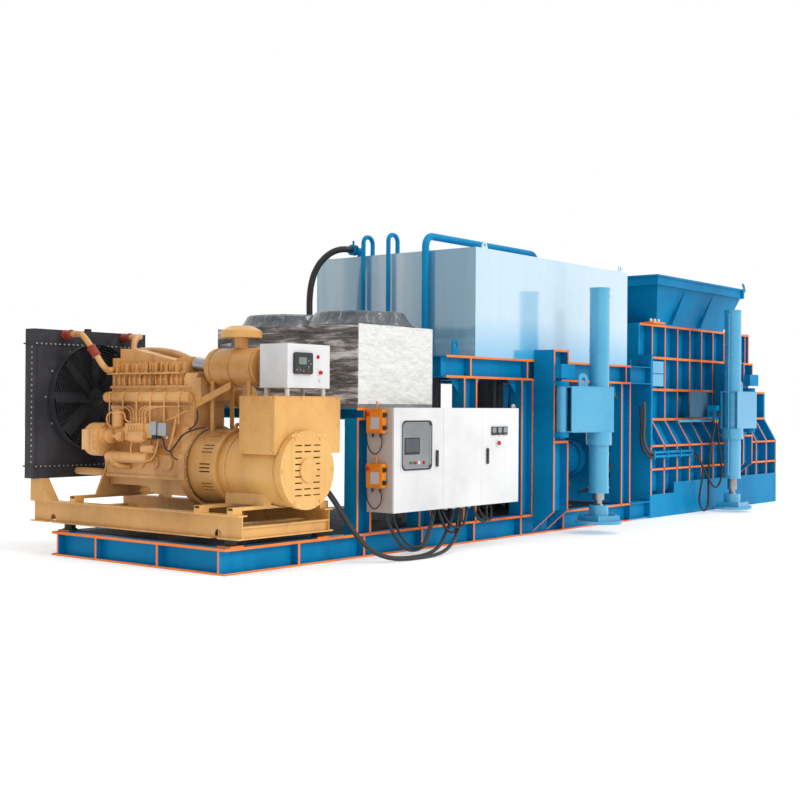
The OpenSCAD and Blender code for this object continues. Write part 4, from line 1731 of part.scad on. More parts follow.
// Two power cables from the terminal box down to the ground and up to the cabinet
cable_r = 20;
cable_a = [[1270, 50, 1104], [1270, 50, 1060], [1270, 50, 1010], [1285, 40, 930], [1330, 15, 840], [1395, -20, 750],
  [1455, -60, 655], [1505, -105, 555], [1545, -160, 450], [1580, -225, 340], [1620, -300, 235], [1685, -380, 140],
  [1780, -455, 75], [1905, -515, 38], [2060, -555, 25], [2240, -575, 24], [2420, -575, 24], [2600, -560, 30],
  [2770, -530, 48], [2920, -490, 82], [3060, -436, 122], [3190, -378, 164], [3310, -320, 210], [3405, -271, 258],
  [3465, -238, 306], [3491, -224, 358], [3500, -220, 406], [3500, -220, 454]];
cable_b = [[1330, 50, 1104], [1330, 50, 1060], [1330, 50, 1010], [1345, 42, 925], [1390, 20, 835], [1450, -10, 745],
  [1510, -45, 650], [1560, -85, 550], [1600, -135, 445], [1635, -195, 340], [1680, -265, 235], [1745, -340, 142],
  [1840, -408, 76], [1965, -458, 40], [2110, -488, 26], [2270, -500, 24], [2430, -498, 28], [2585, -480, 42],
  [2730, -450, 68], [2870, -406, 104], [2995, -350, 146], [3105, -300, 192], [3200, -262, 244], [3275, -238, 298],
  [3326, -226, 352], [3350, -220, 406], [3350, -220, 454]];
// Two hydraulic hoses between the wall pipes and the wall valve, and the suction hose
hose_a = [[9844, -36, 960], [9880, -36, 960], [9945, -40, 943], [9993, -58, 895], [10010, -90, 825],
  [9998, -148, 720], [9960, -168, 600], [9895, -184, 470], [9825, -196, 350], [9785, -204, 245], [9795, -209, 145],
  [9855, -212, 70], [9935, -214, 45], [10015, -215, 75], [10065, -215, 155], [10080, -215, 300], [10075, -215, 480],
  [10080, -215, 680], [10105, -215, 880], [10160, -215, 1060], [10225, -216, 1210], [10275, -216, 1310], [10300, -216, 1380], [10300, -216, 1430]];
hose_b = [[10380, -216, 1430], [10380, -216, 1370], [10382, -222, 1280], [10378, -240, 1130],
  [10380, -258, 980], [10392, -270, 840], [10400, -278, 700], [10390, -282, 570], [10340, -284, 465], [10250, -284, 405],
  [10140, -280, 405], [10045, -266, 470], [9998, -236, 560], [9996, -190, 655],
  [9998, -140, 735], [9982, -85, 815], [9940, -50, 872], [9880, -36, 900], [9844, -36, 900]];
hose_s = [[3610, 2216, 2330], [3610, 2216, 2400], [3610, 2216, 2470], [3604, 2220, 2640], [3598, 2222, 2820], [3596, 2216, 3000],
  [3606, 2196, 3170], [3636, 2154, 3330], [3688, 2086, 3460], [3756, 2008, 3550], [3830, 1932, 3595], [3895, 1882, 3605],
  [3942, 1864, 3605], [3990, 1864, 3605]];

// Points of a smooth line through the route, with m steps from point to point
function pick(p, i) = p[max(0, min(len(p) - 1, i))];
function smooth(p, m) = concat([for (i = [0 : len(p) - 2], k = [0 : m - 1]) let(t = k / m)
  ((2 * pick(p, i)) + (pick(p, i + 1) - pick(p, i - 1)) * t
    + (2 * pick(p, i - 1) - 5 * pick(p, i) + 4 * pick(p, i + 1) - pick(p, i + 2)) * t * t
    + (3 * pick(p, i) - pick(p, i - 1) - 3 * pick(p, i + 1) + pick(p, i + 2)) * t * t * t) / 2], [p[len(p) - 1]]);
function unit(v) = v / norm(v);
function heading(p, i) = unit(pick(p, i + 1) - pick(p, i - 1));
function carry(n, t) = unit(n - t * (n * t));
function normals(p, i, n) = i >= len(p) ? [] : let(m = carry(n, heading(p, i)))
  concat([m], normals(p, i + 1, m));
tube_sides = 10;
// One tube of radius r along the route p
module tube(p, r, m) {
  line = smooth(p, m);
  n = normals(line, 0, [0.3, 0.9, 0.2]);
  last = len(line) - 1;
  polyhedron(points = [for (i = [0 : last], k = [0 : tube_sides - 1]) let(a = k * 360 / tube_sides)
      line[i] + r * (cos(a) * n[i] + sin(a) * cross(heading(line, i), n[i]))],
    faces = concat([[for (k = [0 : tube_sides - 1]) k]],
      [for (i = [0 : last - 1], k = [0 : tube_sides - 1]) let(l = (k + 1) % tube_sides)
        [i * tube_sides + k, (i + 1) * tube_sides + k, (i + 1) * tube_sides + l]],
      [for (i = [0 : last - 1], k = [0 : tube_sides - 1]) let(l = (k + 1) % tube_sides)
        [i * tube_sides + k, (i + 1) * tube_sides + l, i * tube_sides + l]],
      [[for (k = [tube_sides - 1 : -1 : 0]) last * tube_sides + k]]));
}
module power_cables() color("black") place() {
  tube(cable_a, cable_r, 1);
  tube(cable_b, cable_r, 1);
}
module hydraulic_hoses() color("black") place() {
  tube(hose_a, wall_pipe_r * 0.8, 1);
  tube(hose_b, wall_pipe_r * 0.8, 1);
  tube(hose_s, suction_r, 1);
}

base_frame();
deck_plate();
power_frame();
module_links();
leg_mounts();
genset_skid();
skid_mounts();
engine_block();
engine_pipes();
coolant_hoses();
air_filter();
radiator();
alternator();
alternator_cover();
terminal_box();
control_box();
engine_fan();
crank_rotor();
drive_belt();
cooler_case();
cooler_film();
cooler_fan();
cabinet_case();
cabinet_gear();
door_left();
door_mid();
door_right();
handle_left();
handle_right();
start_button();
stop_button();
genset_estop();
radio_receivers();
power_cables();
tank();
tank_pipes();
pump_sets();
valve_block();
main_cylinder();
ram_slide();
ram_blades();
fixed_blades();
box_walls();
box_plates();
box_frames();
hopper();
wall_pipes();
hydraulic_hoses();
leg_arm_1();
leg_arm_2();
leg_arm_3();
leg_arm_4();
leg_rod_1();
leg_rod_2();
leg_rod_3();
leg_rod_4();
leg_foot_1();
leg_foot_2();
leg_foot_3();
leg_foot_4();
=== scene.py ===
import math

import bpy
from mathutils import Matrix, Vector, noise


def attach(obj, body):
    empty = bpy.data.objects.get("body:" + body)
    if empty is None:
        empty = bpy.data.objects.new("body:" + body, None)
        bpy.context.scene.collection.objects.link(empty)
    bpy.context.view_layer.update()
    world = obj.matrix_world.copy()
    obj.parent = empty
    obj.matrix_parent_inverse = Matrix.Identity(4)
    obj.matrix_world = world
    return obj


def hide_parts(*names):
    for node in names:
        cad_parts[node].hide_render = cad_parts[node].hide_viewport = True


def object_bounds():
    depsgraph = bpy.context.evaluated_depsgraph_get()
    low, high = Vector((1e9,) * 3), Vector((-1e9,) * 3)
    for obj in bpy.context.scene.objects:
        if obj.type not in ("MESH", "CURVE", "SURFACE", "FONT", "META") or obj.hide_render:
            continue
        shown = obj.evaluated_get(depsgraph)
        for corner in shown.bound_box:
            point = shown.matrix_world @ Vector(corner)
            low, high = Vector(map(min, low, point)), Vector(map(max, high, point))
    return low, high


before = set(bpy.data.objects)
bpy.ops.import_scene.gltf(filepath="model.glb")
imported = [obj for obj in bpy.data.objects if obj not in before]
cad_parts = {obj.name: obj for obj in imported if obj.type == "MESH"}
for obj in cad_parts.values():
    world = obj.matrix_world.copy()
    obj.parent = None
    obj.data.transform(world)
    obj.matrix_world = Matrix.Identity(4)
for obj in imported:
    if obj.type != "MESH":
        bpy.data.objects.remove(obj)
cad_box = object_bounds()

add_to_scene = bpy.context.scene.collection.objects.link

# Millimetres of the machine's own corner to metres of the shared frame
MM = 0.001
CORNER = Vector((6630.0, 1315.0, 0.0))
BODY_W = 2630.0


def at(x, y, z):
    return (Vector((x, y, z)) - CORNER) * MM


# Camera: place in metres, turn in degrees
CAM_PLACE = (-15.192, -10.17, 1.619)
CAM_YAW, CAM_PITCH, CAM_ROLL = 51.698, 0.262, -0.381
CAM_LENS = 58.22

yaw, pitch, roll = (math.radians(a) for a in (CAM_YAW, CAM_PITCH, CAM_ROLL))
ahead = Vector((math.sin(yaw) * math.cos(pitch), math.cos(yaw) * math.cos(pitch), math.sin(pitch)))
level = Vector((math.cos(yaw), -math.sin(yaw), 0.0))
down = ahead.cross(level)
right = math.cos(roll) * level + math.sin(roll) * down
down = math.cos(roll) * down - math.sin(roll) * level
camera = bpy.data.objects.new("camera", bpy.data.cameras.new("camera"))
camera.data.lens = CAM_LENS
camera.data.clip_end = 200.0
turn = Matrix((right, -down, -ahead)).transposed().to_4x4()
camera.matrix_world = Matrix.Translation(CAM_PLACE) @ turn
add_to_scene(camera)
bpy.context.scene.camera = camera


# Materials

class Shade:
    """A material whose nodes are added by short calls."""

    def __init__(self, name, **values):
        self.mat = bpy.data.materials.new(name)
        self.mat.use_nodes = True
        self.tree = self.mat.node_tree
        self.bsdf = self.tree.nodes["Principled BSDF"]
        for key, value in values.items():
            self.bsdf.inputs[key.replace("_", " ")].default_value = value
        self.place = self.add("ShaderNodeTexCoord").outputs["Object"]

    def add(self, kind, **values):
        node = self.tree.nodes.new(kind)
        for key, value in values.items():
            setattr(node, key, value)
        return node

    def link(self, source, target):
        self.tree.links.new(source, target)

    def stretch(self, size, turn=(0.0, 0.0, 0.0)):
        node = self.add("ShaderNodeMapping")
        node.inputs["Scale"].default_value = size
        node.inputs["Rotation"].default_value = turn
        self.link(self.place, node.inputs["Vector"])
        return node.outputs["Vector"]

    def noise(self, scale, detail=4.0, rough=0.55, vector=None, warp=0.0):
        node = self.add("ShaderNodeTexNoise")
        node.inputs["Scale"].default_value = scale
        node.inputs["Detail"].default_value = detail
        node.inputs["Roughness"].default_value = rough
        node.inputs["Distortion"].default_value = warp
        self.link(vector or self.place, node.inputs["Vector"])
        return node.outputs["Fac"]

    def ramp(self, fac, *stops):
        node = self.add("ShaderNodeValToRGB")
        bar = node.color_ramp
        while len(bar.elements) < len(stops):
            bar.elements.new(0.5)
        for element, (place, colour) in zip(bar.elements, stops):
            element.position = place
            element.color = (*(colour if isinstance(colour, tuple) else (colour,) * 3), 1.0)
        self.link(fac, node.inputs["Fac"])
        return node.outputs["Color"]

    def feed(self, socket, value):
        """Set a socket to a number or a colour, or link it to another node."""
        if isinstance(value, (float, int)):
            socket.default_value = value
        elif isinstance(value, tuple):
            socket.default_value = (*value, 1.0)
        else:
            self.link(value, socket)

    def mix(self, fac, first, second):
        node = self.add("ShaderNodeMix", data_type="RGBA")
        for k, value in ((0, fac), (6, first), (7, second)):
            self.feed(node.inputs[k], value)
        return node.outputs[2]

    def maths(self, how, first, second=0.5):
        node = self.add("ShaderNodeMath", operation=how)
        for k, value in enumerate((first, second)):
            self.feed(node.inputs[k], value)
        return node.outputs[0]

    def normal(self, axis):
        node = self.add("ShaderNodeSeparateXYZ")
        self.link(self.add("ShaderNodeNewGeometry").outputs["Normal"], node.inputs[0])
        return node.outputs[axis]

    def colour(self, socket):
        self.link(socket, self.bsdf.inputs["Base Color"])
        return self

    def rough(self, fac, low, high):
        self.link(self.ramp(fac, (0.3, low), (0.7, high)), self.bsdf.inputs["Roughness"])
        return self

    def bump(self, *layers):
        last = None
        for fac, strength, distance in layers:
            node = self.add("ShaderNodeBump")
            node.inputs["Strength"].default_value = strength
            node.inputs["Distance"].default_value = distance
            self.link(fac, node.inputs["Height"])
            if last:
                self.link(last, node.inputs["Normal"])
            last = node.outputs["Normal"]
        self.link(last, self.bsdf.inputs["Normal"])
        return self


def paint(name, lit, deep, faded, rough, wave=0.0, dust=(0.1, 0.11, 0.12), dust_top=0.22,
          grime=0.35, coat=0.0, shine=0.14):
    """Sprayed machine paint: uneven colour, a few runs and scuffs, dust where it faces up."""
    s = Shade(name, Coat_Weight=coat, Coat_Roughness=0.12, Specular_IOR_Level=shine)
    wide = s.noise(0.7, 3.0)
    small = s.noise(9.0, 6.0, 0.65)
    runs = s.noise(1.0, 5.0, 0.6, s.stretch((7.0, 7.0, 0.7)))
    tone = s.ramp(wide, (0.32, deep), (0.5, lit), (0.72, faded))
    tone = s.mix(s.ramp(small, (0.45, 0.0), (0.8, 0.35)), tone, faded)
    tone = s.mix(s.maths("MULTIPLY", s.ramp(runs, (0.52, 0.0), (0.72, 1.0)), grime), tone, deep)
    up = s.ramp(s.normal(2), (0.55, 0.0), (0.95, dust_top))
    tone = s.mix(s.maths("MULTIPLY", up, s.ramp(small, (0.3, 0.3), (0.62, 1.0))), tone, dust)
    scuffs = s.ramp(s.noise(26.0, 8.0, 0.7, s.stretch((1.0, 1.0, 2.6))), (0.66, 0.0), (0.72, 0.5))
    tone = s.mix(scuffs, tone, faded)
    s.colour(tone).rough(small, rough - 0.09, rough + 0.12)
    layers = [(s.noise(240.0, 2.0), 0.04, 0.0006), (s.noise(14.0, 5.0), 0.1, 0.0012)]
    if wave:
        layers.append((s.noise(1.7, 2.0, 0.4), wave, 0.02))
    return s.bump(*layers).mat


def tank_paint():
    """Glossy tank paint whose pale, softly streaked upright sides are painted reflection; deeper blue
    low down and on top.
    """
    s = Shade("blue_tank_painted_reflection", Roughness=0.3, Specular_IOR_Level=0.4, Coat_Weight=0.9,
              Coat_Roughness=0.09, Coat_IOR=3.4)
    # Upright streaks that shape the painted reflection on the sides
    streaks = s.noise(1.0, 4.0, 0.55, s.stretch((1.1, 1.6, 0.1)))
    small = s.noise(6.0, 5.0, 0.6)
    height = s.add("ShaderNodeSeparateXYZ")
    s.link(s.place, height.inputs[0])
    # Low down, the pale painted reflection on the sides fades to plain blue
    low = s.ramp(s.maths("MULTIPLY", height.outputs[2], 0.25), (0.56, 1.0), (0.68, 0.0))
    # Sides along the length: pale painted reflection in streaks
    near = s.ramp(streaks, (0.3, (0.36, 0.59, 0.76)), (0.7, (0.52, 0.68, 0.79)))
    near = s.mix(low, near, (0.05, 0.4, 0.68))
    # Ends: a dimmer painted reflection in streaks
    end = s.ramp(streaks, (0.34, (0.12, 0.34, 0.5)), (0.52, (0.22, 0.42, 0.55)),
                 (0.68, (0.48, 0.62, 0.7)))
    top = s.ramp(small, (0.3, (0.004, 0.2, 0.42)), (0.7, (0.01, 0.26, 0.5)))
    tone = s.mix(s.ramp(s.maths("ABSOLUTE", s.normal(1)), (0.4, 0.0), (0.6, 1.0)), top, near)
    tone = s.mix(s.ramp(s.maths("ABSOLUTE", s.normal(0)), (0.4, 0.0), (0.6, 1.0)), tone, end)
    s.colour(s.mix(s.ramp(small, (0.5, 0.0), (0.8, 0.1)), tone, (0.03, 0.24, 0.42)))
    return s.bump((small, 0.03, 0.002), (s.noise(1.7, 2.0, 0.4), 0.08, 0.02)).mat


BLUE = (0.002, 0.215, 0.45)
BLUE_DEEP = (0.001, 0.15, 0.335)
BLUE_PALE = (0.006, 0.275, 0.54)
OCHRE = (0.68, 0.36, 0.105)
OCHRE_DEEP = (0.48, 0.225, 0.06)
OCHRE_PALE = (0.78, 0.46, 0.15)
ORANGE = (0.96, 0.23, 0.03)

blue = paint("blue_paint", BLUE, BLUE_DEEP, BLUE_PALE, 0.36, wave=0.16, shine=0.06)
blue_leg = paint("blue_leg_paint", (0.05, 0.36, 0.6), (0.035, 0.32, 0.56),
                 (0.09, 0.41, 0.64), 0.22, dust_top=0.15, shine=0.5, coat=0.7)
blue_tank = tank_paint()
# Deck plate: the blue paint made almost black, painted shade for the deck down inside the frame
deck_painted_shade = paint("blue_deck_painted_shade", (0.006, 0.03, 0.05), (0.003, 0.006, 0.01),
                  (0.01, 0.05, 0.08), 0.62, dust_top=0.6, dust=(0.02, 0.016, 0.014))
ochre = paint("ochre_paint", OCHRE, OCHRE_DEEP, OCHRE_PALE, 0.3, wave=0.05, shine=0.4,
              dust=(0.3, 0.22, 0.16))
ochre_cast = paint("ochre_cast_paint", (0.76, 0.4, 0.14), (0.42, 0.2, 0.065),
                   (0.9, 0.56, 0.24), 0.36, grime=0.75, shine=0.4, dust=(0.26, 0.19, 0.14))
orange_edge = paint("orange_edge_paint", ORANGE, (0.56, 0.085, 0.015), (0.92, 0.25, 0.06), 0.45,
                    dust_top=0.2)
white = paint("white_paint", (0.72, 0.725, 0.73), (0.6, 0.605, 0.61), (0.8, 0.8, 0.8), 0.4,
              wave=0.03, dust=(0.4, 0.38, 0.35), grime=0.15)
# Cabinet case: the white paint in a darker grey copy, painted shade for its shaded sides
cabinet_painted_shade = paint("cabinet_side_painted_shade", (0.52, 0.46, 0.42), (0.44, 0.39, 0.36), (0.6, 0.55, 0.52),
                  0.42, wave=0.03, grime=0.15)
grey_gear = paint("grey_gear", (0.26, 0.28, 0.29), (0.15, 0.16, 0.17), (0.38, 0.39, 0.4), 0.5)
black_paint = paint("black_paint", (0.045, 0.044, 0.052), (0.026, 0.026, 0.03),
                    (0.085, 0.085, 0.095), 0.38, dust=(0.1, 0.09, 0.085), dust_top=0.5)
orange_plastic = paint("orange_plastic", (0.83, 0.26, 0.02), (0.6, 0.16, 0.012),
                       (0.9, 0.36, 0.06), 0.38)
red_plastic = paint("red_plastic", (0.56, 0.018, 0.014), (0.34, 0.01, 0.008),
                    (0.7, 0.05, 0.04), 0.3)
green_plastic = paint("green_plastic", (0.02, 0.32, 0.06), (0.012, 0.2, 0.035),
                      (0.06, 0.45, 0.11), 0.3)


def metal(name, colour, dark, rough, brushed=(40.0, 2.0, 2.0), metallic=1.0):
    s = Shade(name, Metallic=metallic)
    lines = s.noise(6.0, 6.0, 0.7, s.stretch(brushed))
    blots = s.noise(3.0, 5.0, 0.6)
    tone = s.ramp(lines, (0.3, dark), (0.7, colour))
    s.colour(s.mix(s.ramp(blots, (0.42, 0.0), (0.7, 0.7)), tone, dark))
    s.rough(blots, rough - 0.06, rough + 0.14)
    return s.bump((lines, 0.08, 0.0008), (s.noise(120.0, 3.0), 0.05, 0.0006)).mat


bare_steel = metal("bare_steel", (0.55, 0.55, 0.56), (0.28, 0.27, 0.27), 0.34)
ram_steel = metal("ram_steel", (0.34, 0.34, 0.35), (0.13, 0.12, 0.12), 0.42, (3.0, 30.0, 3.0))
galvanised = metal("galvanised", (0.46, 0.47, 0.48), (0.24, 0.25, 0.26), 0.42, (6.0, 6.0, 6.0))
bright_metal = metal("cast_aluminium", (0.66, 0.67, 0.68), (0.4, 0.41, 0.42), 0.36, (5.0, 5.0, 5.0))
brass = metal("brass_fitting", (0.62, 0.42, 0.14), (0.34, 0.22, 0.08), 0.34, (9.0, 9.0, 9.0))


def rubber(name, colour, pale, rough):
    s = Shade(name, Specular_IOR_Level=0.35)
    fine = s.noise(70.0, 6.0, 0.6)
    s.colour(s.ramp(fine, (0.3, colour), (0.75, pale))).rough(fine, rough - 0.08, rough + 0.12)
    return s.bump((fine, 0.25, 0.0012), (s.noise(9.0, 3.0), 0.1, 0.004)).mat


black_rubber = rubber("black_rubber", (0.013, 0.013, 0.014), (0.04, 0.04, 0.042), 0.46)
red_rubber = rubber("red_hose_rubber", (0.23, 0.022, 0.014), (0.36, 0.06, 0.035), 0.5)
black_plastic = rubber("black_plastic", (0.016, 0.016, 0.018), (0.045, 0.045, 0.05), 0.36)
brown_hose = rubber("dusty_hose_rubber", (0.06, 0.045, 0.035), (0.15, 0.115, 0.085), 0.6)


def film_material():
    """Pale stretch film in creased layers with painted shade in the crease hollows; the side that
    faces the generator has painted shade in dark stripes and painted reflection in pale ones.
    """
    s = Shade("stretch_film", Roughness=0.22, IOR=1.45, Specular_IOR_Level=0.5, Coat_Weight=0.4,
              Coat_Roughness=0.12)
    creases = s.noise(3.2, 8.0, 0.72, s.stretch((2.2, 2.2, 7.0), (0.25, 0.2, 0.0)), 0.8)
    stripes = s.noise(2.0, 7.0, 0.7, s.stretch((1.0, 0.8, 7.5)), 0.5)
    # Crease tone: painted shade in the hollows, painted sheen on the ridges
    near = s.ramp(creases, (0.28, (0.5, 0.51, 0.5)), (0.46, (0.68, 0.69, 0.67)),
                  (0.66, (0.8, 0.8, 0.77)))
    # Generator-end side: painted shade in dark stripes, painted reflection in pale ones
    side = s.ramp(stripes, (0.36, (0.045, 0.042, 0.045)), (0.5, (0.16, 0.15, 0.15)),
                  (0.6, (0.62, 0.6, 0.6)), (0.72, (0.92, 0.9, 0.88)))
    shaded_side_mask = s.ramp(s.maths("MULTIPLY", s.normal(0), -1.0), (0.35, 0.0), (0.65, 1.0))
    s.colour(s.mix(shaded_side_mask, near, side))
    return s.bump((creases, 0.55, 0.016), (stripes, 0.35, 0.02)).mat


def dark_film_material():
    """Thin dark film lying loose, with pale streaks of painted highlight along its folds."""
    s = Shade("dark_film", Roughness=0.18, Specular_IOR_Level=0.6, Coat_Weight=0.4,
              Coat_Roughness=0.1)
    folds = s.noise(5.0, 8.0, 0.7, s.stretch((2.0, 2.0, 1.0), (0.3, 0.2, 0.5)), 1.2)
    # Colour follows the folds: pale painted highlight on their ridges
    s.colour(s.ramp(folds, (0.35, (0.03, 0.038, 0.05)), (0.56, (0.085, 0.1, 0.12)),
                    (0.72, (0.4, 0.43, 0.47))))
    s.link(s.ramp(folds, (0.34, 0.72), (0.62, 0.94)), s.bsdf.inputs["Alpha"])
    return s.bump((folds, 0.8, 0.02)).mat


def glass_material():
    """Grey window pane with a little haze."""
    s = Shade("window_pane", Roughness=0.08, Specular_IOR_Level=0.7, Coat_Weight=0.5,
              Coat_Roughness=0.04)
    haze = s.noise(2.5, 3.0)
    s.colour(s.ramp(haze, (0.3, (0.115, 0.12, 0.135)), (0.7, (0.21, 0.215, 0.235))))
    return s.bump((haze, 0.05, 0.003)).mat


film = film_material()
pane = glass_material()
dark_film = dark_film_material()
screen_glass = paint("screen_glass", (0.06, 0.07, 0.085), (0.04, 0.045, 0.055),
                     (0.11, 0.12, 0.14), 0.2, coat=0.5, dust_top=0.0)
display_glass = paint("display_glass", (0.2, 0.25, 0.2), (0.15, 0.19, 0.15),
                      (0.26, 0.31, 0.25), 0.25, dust_top=0.0)
label_grey = paint("label_grey", (0.56, 0.54, 0.56), (0.42, 0.41, 0.43),
                   (0.68, 0.66, 0.68), 0.45, dust_top=0.0)
dull_plate = paint("dull_plate", (0.05, 0.13, 0.2), (0.035, 0.08, 0.13),
                   (0.11, 0.21, 0.29), 0.4)
# Bolt heads: a paler copy of the ochre paint, painted highlight on the heads
ochre_bolt_highlight = paint("ochre_bolt_painted_highlight", (0.8, 0.5, 0.2), (0.56, 0.3, 0.1),
                     (0.9, 0.68, 0.42), 0.3)

FINISH = {
    blue_tank: ("blue_paint", "tank"),
    blue: ("blue_paint", "base_frame power_frame module_links leg_mounts tank_pipes main_cylinder "
           "box_walls box_plates box_frames hopper wall_pipes"),
    blue_leg: ("blue_paint", "leg_arm_1 leg_arm_2 leg_arm_3 leg_arm_4 "
               "leg_foot_1 leg_foot_2 leg_foot_3 leg_foot_4"),
    deck_painted_shade: ("blue_paint", "deck_plate"),
    ochre: ("ochre_paint", "genset_skid alternator alternator_cover terminal_box air_filter"),
    ochre_cast: ("ochre_paint", "engine_block engine_pipes coolant_hoses"),
    black_paint: ("black_paint", "radiator engine_fan cooler_fan pump_sets"),
    black_rubber: ("black_rubber", "skid_mounts drive_belt power_cables hydraulic_hoses"),
    bare_steel: ("bare_steel", "crank_rotor leg_rod_1 leg_rod_2 leg_rod_3 leg_rod_4 "
                 "fixed_blades ram_blades"),
    ram_steel: ("ram_steel", "ram_slide"),
    galvanised: ("galvanised", "cooler_case"),
    white: ("white_paint", "control_box door_left door_mid door_right"),
    cabinet_painted_shade: ("white_paint", "cabinet_case"),
    grey_gear: ("grey_gear", "cabinet_gear valve_block"),
    black_plastic: ("black_plastic", "handle_left handle_right"),
    green_plastic: ("green_plastic", "start_button"),
    red_plastic: ("red_plastic", "stop_button genset_estop"),
    orange_plastic: ("orange_plastic", "radio_receivers"),
    film: ("film", "cooler_film"),
}
for material, (slot, names) in FINISH.items():
    for name in names.split():
        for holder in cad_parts[name].material_slots:
            holder.link = "OBJECT"
            holder.material = material


# Building pieces

PIPE_ROUND, PIPE_STEPS = 6, 8


def add_piece(name, data, material, slot, body="machine"):
    data.materials.append(material)
    piece = bpy.data.objects.new(name, data)
    add_to_scene(piece)
    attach(piece, body)
    return piece


def solid(name, points, faces, material, slot, body="machine", smooth=False, bevel=0.0):
    data = bpy.data.meshes.new(name)
    data.from_pydata(points, [], faces)
    data.validate()
    data.update()
    if smooth:
        data.shade_smooth()
    piece = add_piece(name, data, material, slot, body)
    if bevel:
        edge = piece.modifiers.new("rounded", "BEVEL")
        edge.width, edge.segments, edge.limit_method = bevel, 2, "ANGLE"
    return piece


class Parts:
    """Points and faces of several small forms joined in one mesh, in millimetres."""

    def __init__(self):
        self.points, self.faces = [], []

    def put(self, points, faces):
        base = len(self.points)
        self.points += [at(*p) for p in points]
        self.faces += [tuple(base + i for i in f) for f in faces]

    def box(self, low, size):
        x, y, z = low
        a, b, c = size
        corners = [(x + i * a, y + j * b, z + k * c) for i in (0, 1) for j in (0, 1) for k in (0, 1)]
        self.put(corners, [(0, 1, 3, 2), (4, 6, 7, 5), (0, 4, 5, 1), (2, 3, 7, 6), (0, 2, 6, 4),
                           (1, 5, 7, 3)])

    def bar(self, first, second):
        """Form between two ends of four corners each."""
        self.put(first + second, [(3, 2, 1, 0), (4, 5, 6, 7), (0, 1, 5, 4), (1, 2, 6, 5), (2, 3, 7, 6),
                                  (3, 0, 4, 7)])

    def rod(self, start, end, profile, sides=24):
        """Turned form from start to end; profile holds (share along, radius)."""
        start, end = Vector(start), Vector(end)
        axis = (end - start).normalized()
        side = axis.orthogonal().normalized()
        other = axis.cross(side)
        points, faces = [], []
        for share, radius in profile:
            middle = start.lerp(end, share)
            for k in range(sides):
                a = 2 * math.pi * k / sides
                points.append(tuple(middle + radius * (math.cos(a) * side + math.sin(a) * other)))
        for j in range(len(profile) - 1):
            for k in range(sides):
                m = (k + 1) % sides
                faces.append((j * sides + k, j * sides + m, (j + 1) * sides + m, (j + 1) * sides + k))
        last = (len(profile) - 1) * sides
        faces.append(tuple(range(sides - 1, -1, -1)))
        faces.append(tuple(last + k for k in range(sides)))
        self.put(points, faces)

    def bolt(self, place, way, radius, height):
        """Hex head with its washer, standing on a point."""
        place, way = Vector(place), Vector(way).normalized()
        self.rod(place, place + way * height * 0.3, [(0, radius * 1.35), (1, radius * 1.35)], 12)
        self.rod(place, place + way * height, [(0, radius), (0.8, radius), (1, radius * 0.8)], 6)

    def bolt_ring(self, middle, reach, count, way, radius, height, first=0.0):
        """Hex heads round a circle or an oval that faces the given way."""
        wide, high = reach
        for n in range(count):
            a = math.radians(first) + 2 * math.pi * n / count
            x, y, z = middle
            if way[0]:
                y += wide * math.cos(a)
            else:
                x += wide * math.cos(a)
            self.bolt((x, y, z + high * math.sin(a)), way, radius, height)

    def make(self, name, material, slot, body="machine", bevel=0.0):
        solid(name, self.points, self.faces, material, slot, body, bevel=bevel)


def spline(name, points, radius, material, slot):
    """A round pipe or cable along points in millimetres."""
    data = bpy.data.curves.new(name, "CURVE")
    data.dimensions = "3D"
    data.bevel_depth = radius * MM
    data.bevel_resolution = PIPE_ROUND
    data.resolution_u = PIPE_STEPS
    data.use_fill_caps = True
    line = data.splines.new("BEZIER")
    line.bezier_points.add(len(points) - 1)
    for knot, place in zip(line.bezier_points, points):
        knot.co = at(*place)
        knot.handle_left_type = knot.handle_right_type = "AUTO"
    return add_piece(name, data, material, slot)


# Free cords: the routes of the cables and hoses, in millimetres

CABLE_R = 20.0
HOSE_R = 16.0
SUCTION_R = 40.0
CABLE_A = [(1270, 50, 1104), (1270, 50, 1060), (1270, 50, 1010), (1285, 40, 930), (1330, 15, 840),
    (1395, -20, 750), (1455, -60, 655), (1505, -105, 555), (1545, -160, 450), (1580, -225, 340),
    (1620, -300, 235), (1685, -380, 140), (1780, -455, 75), (1905, -515, 38), (2060, -555, 25),
    (2240, -575, 24), (2420, -575, 24), (2600, -560, 30), (2770, -530, 48), (2920, -490, 82),
    (3060, -436, 122), (3190, -378, 164), (3310, -320, 210), (3405, -271, 258), (3465, -238, 306),
    (3491, -224, 358), (3500, -220, 406), (3500, -220, 454)]
CABLE_B = [(1330, 50, 1104), (1330, 50, 1060), (1330, 50, 1010), (1345, 42, 925), (1390, 20, 835),
    (1450, -10, 745), (1510, -45, 650), (1560, -85, 550), (1600, -135, 445), (1635, -195, 340),
    (1680, -265, 235), (1745, -340, 142), (1840, -408, 76), (1965, -458, 40), (2110, -488, 26),
    (2270, -500, 24), (2430, -498, 28), (2585, -480, 42), (2730, -450, 68), (2870, -406, 104),
    (2995, -350, 146), (3105, -300, 192), (3200, -262, 244), (3275, -238, 298), (3326, -226, 352),
    (3350, -220, 406), (3350, -220, 454)]
HOSE_A = [(9844, -36, 960), (9880, -36, 960), (9945, -40, 943), (9993, -58, 895), (10010, -90, 825),
    (9998, -148, 720), (9960, -168, 600), (9895, -184, 470), (9825, -196, 350), (9785, -204, 245),
    (9795, -209, 145), (9855, -212, 70), (9935, -214, 45), (10015, -215, 75), (10065, -215, 155),
    (10080, -215, 300), (10075, -215, 480), (10080, -215, 680), (10105, -215, 880),
    (10160, -215, 1060), (10225, -216, 1210), (10275, -216, 1310), (10300, -216, 1380),
    (10300, -216, 1430)]
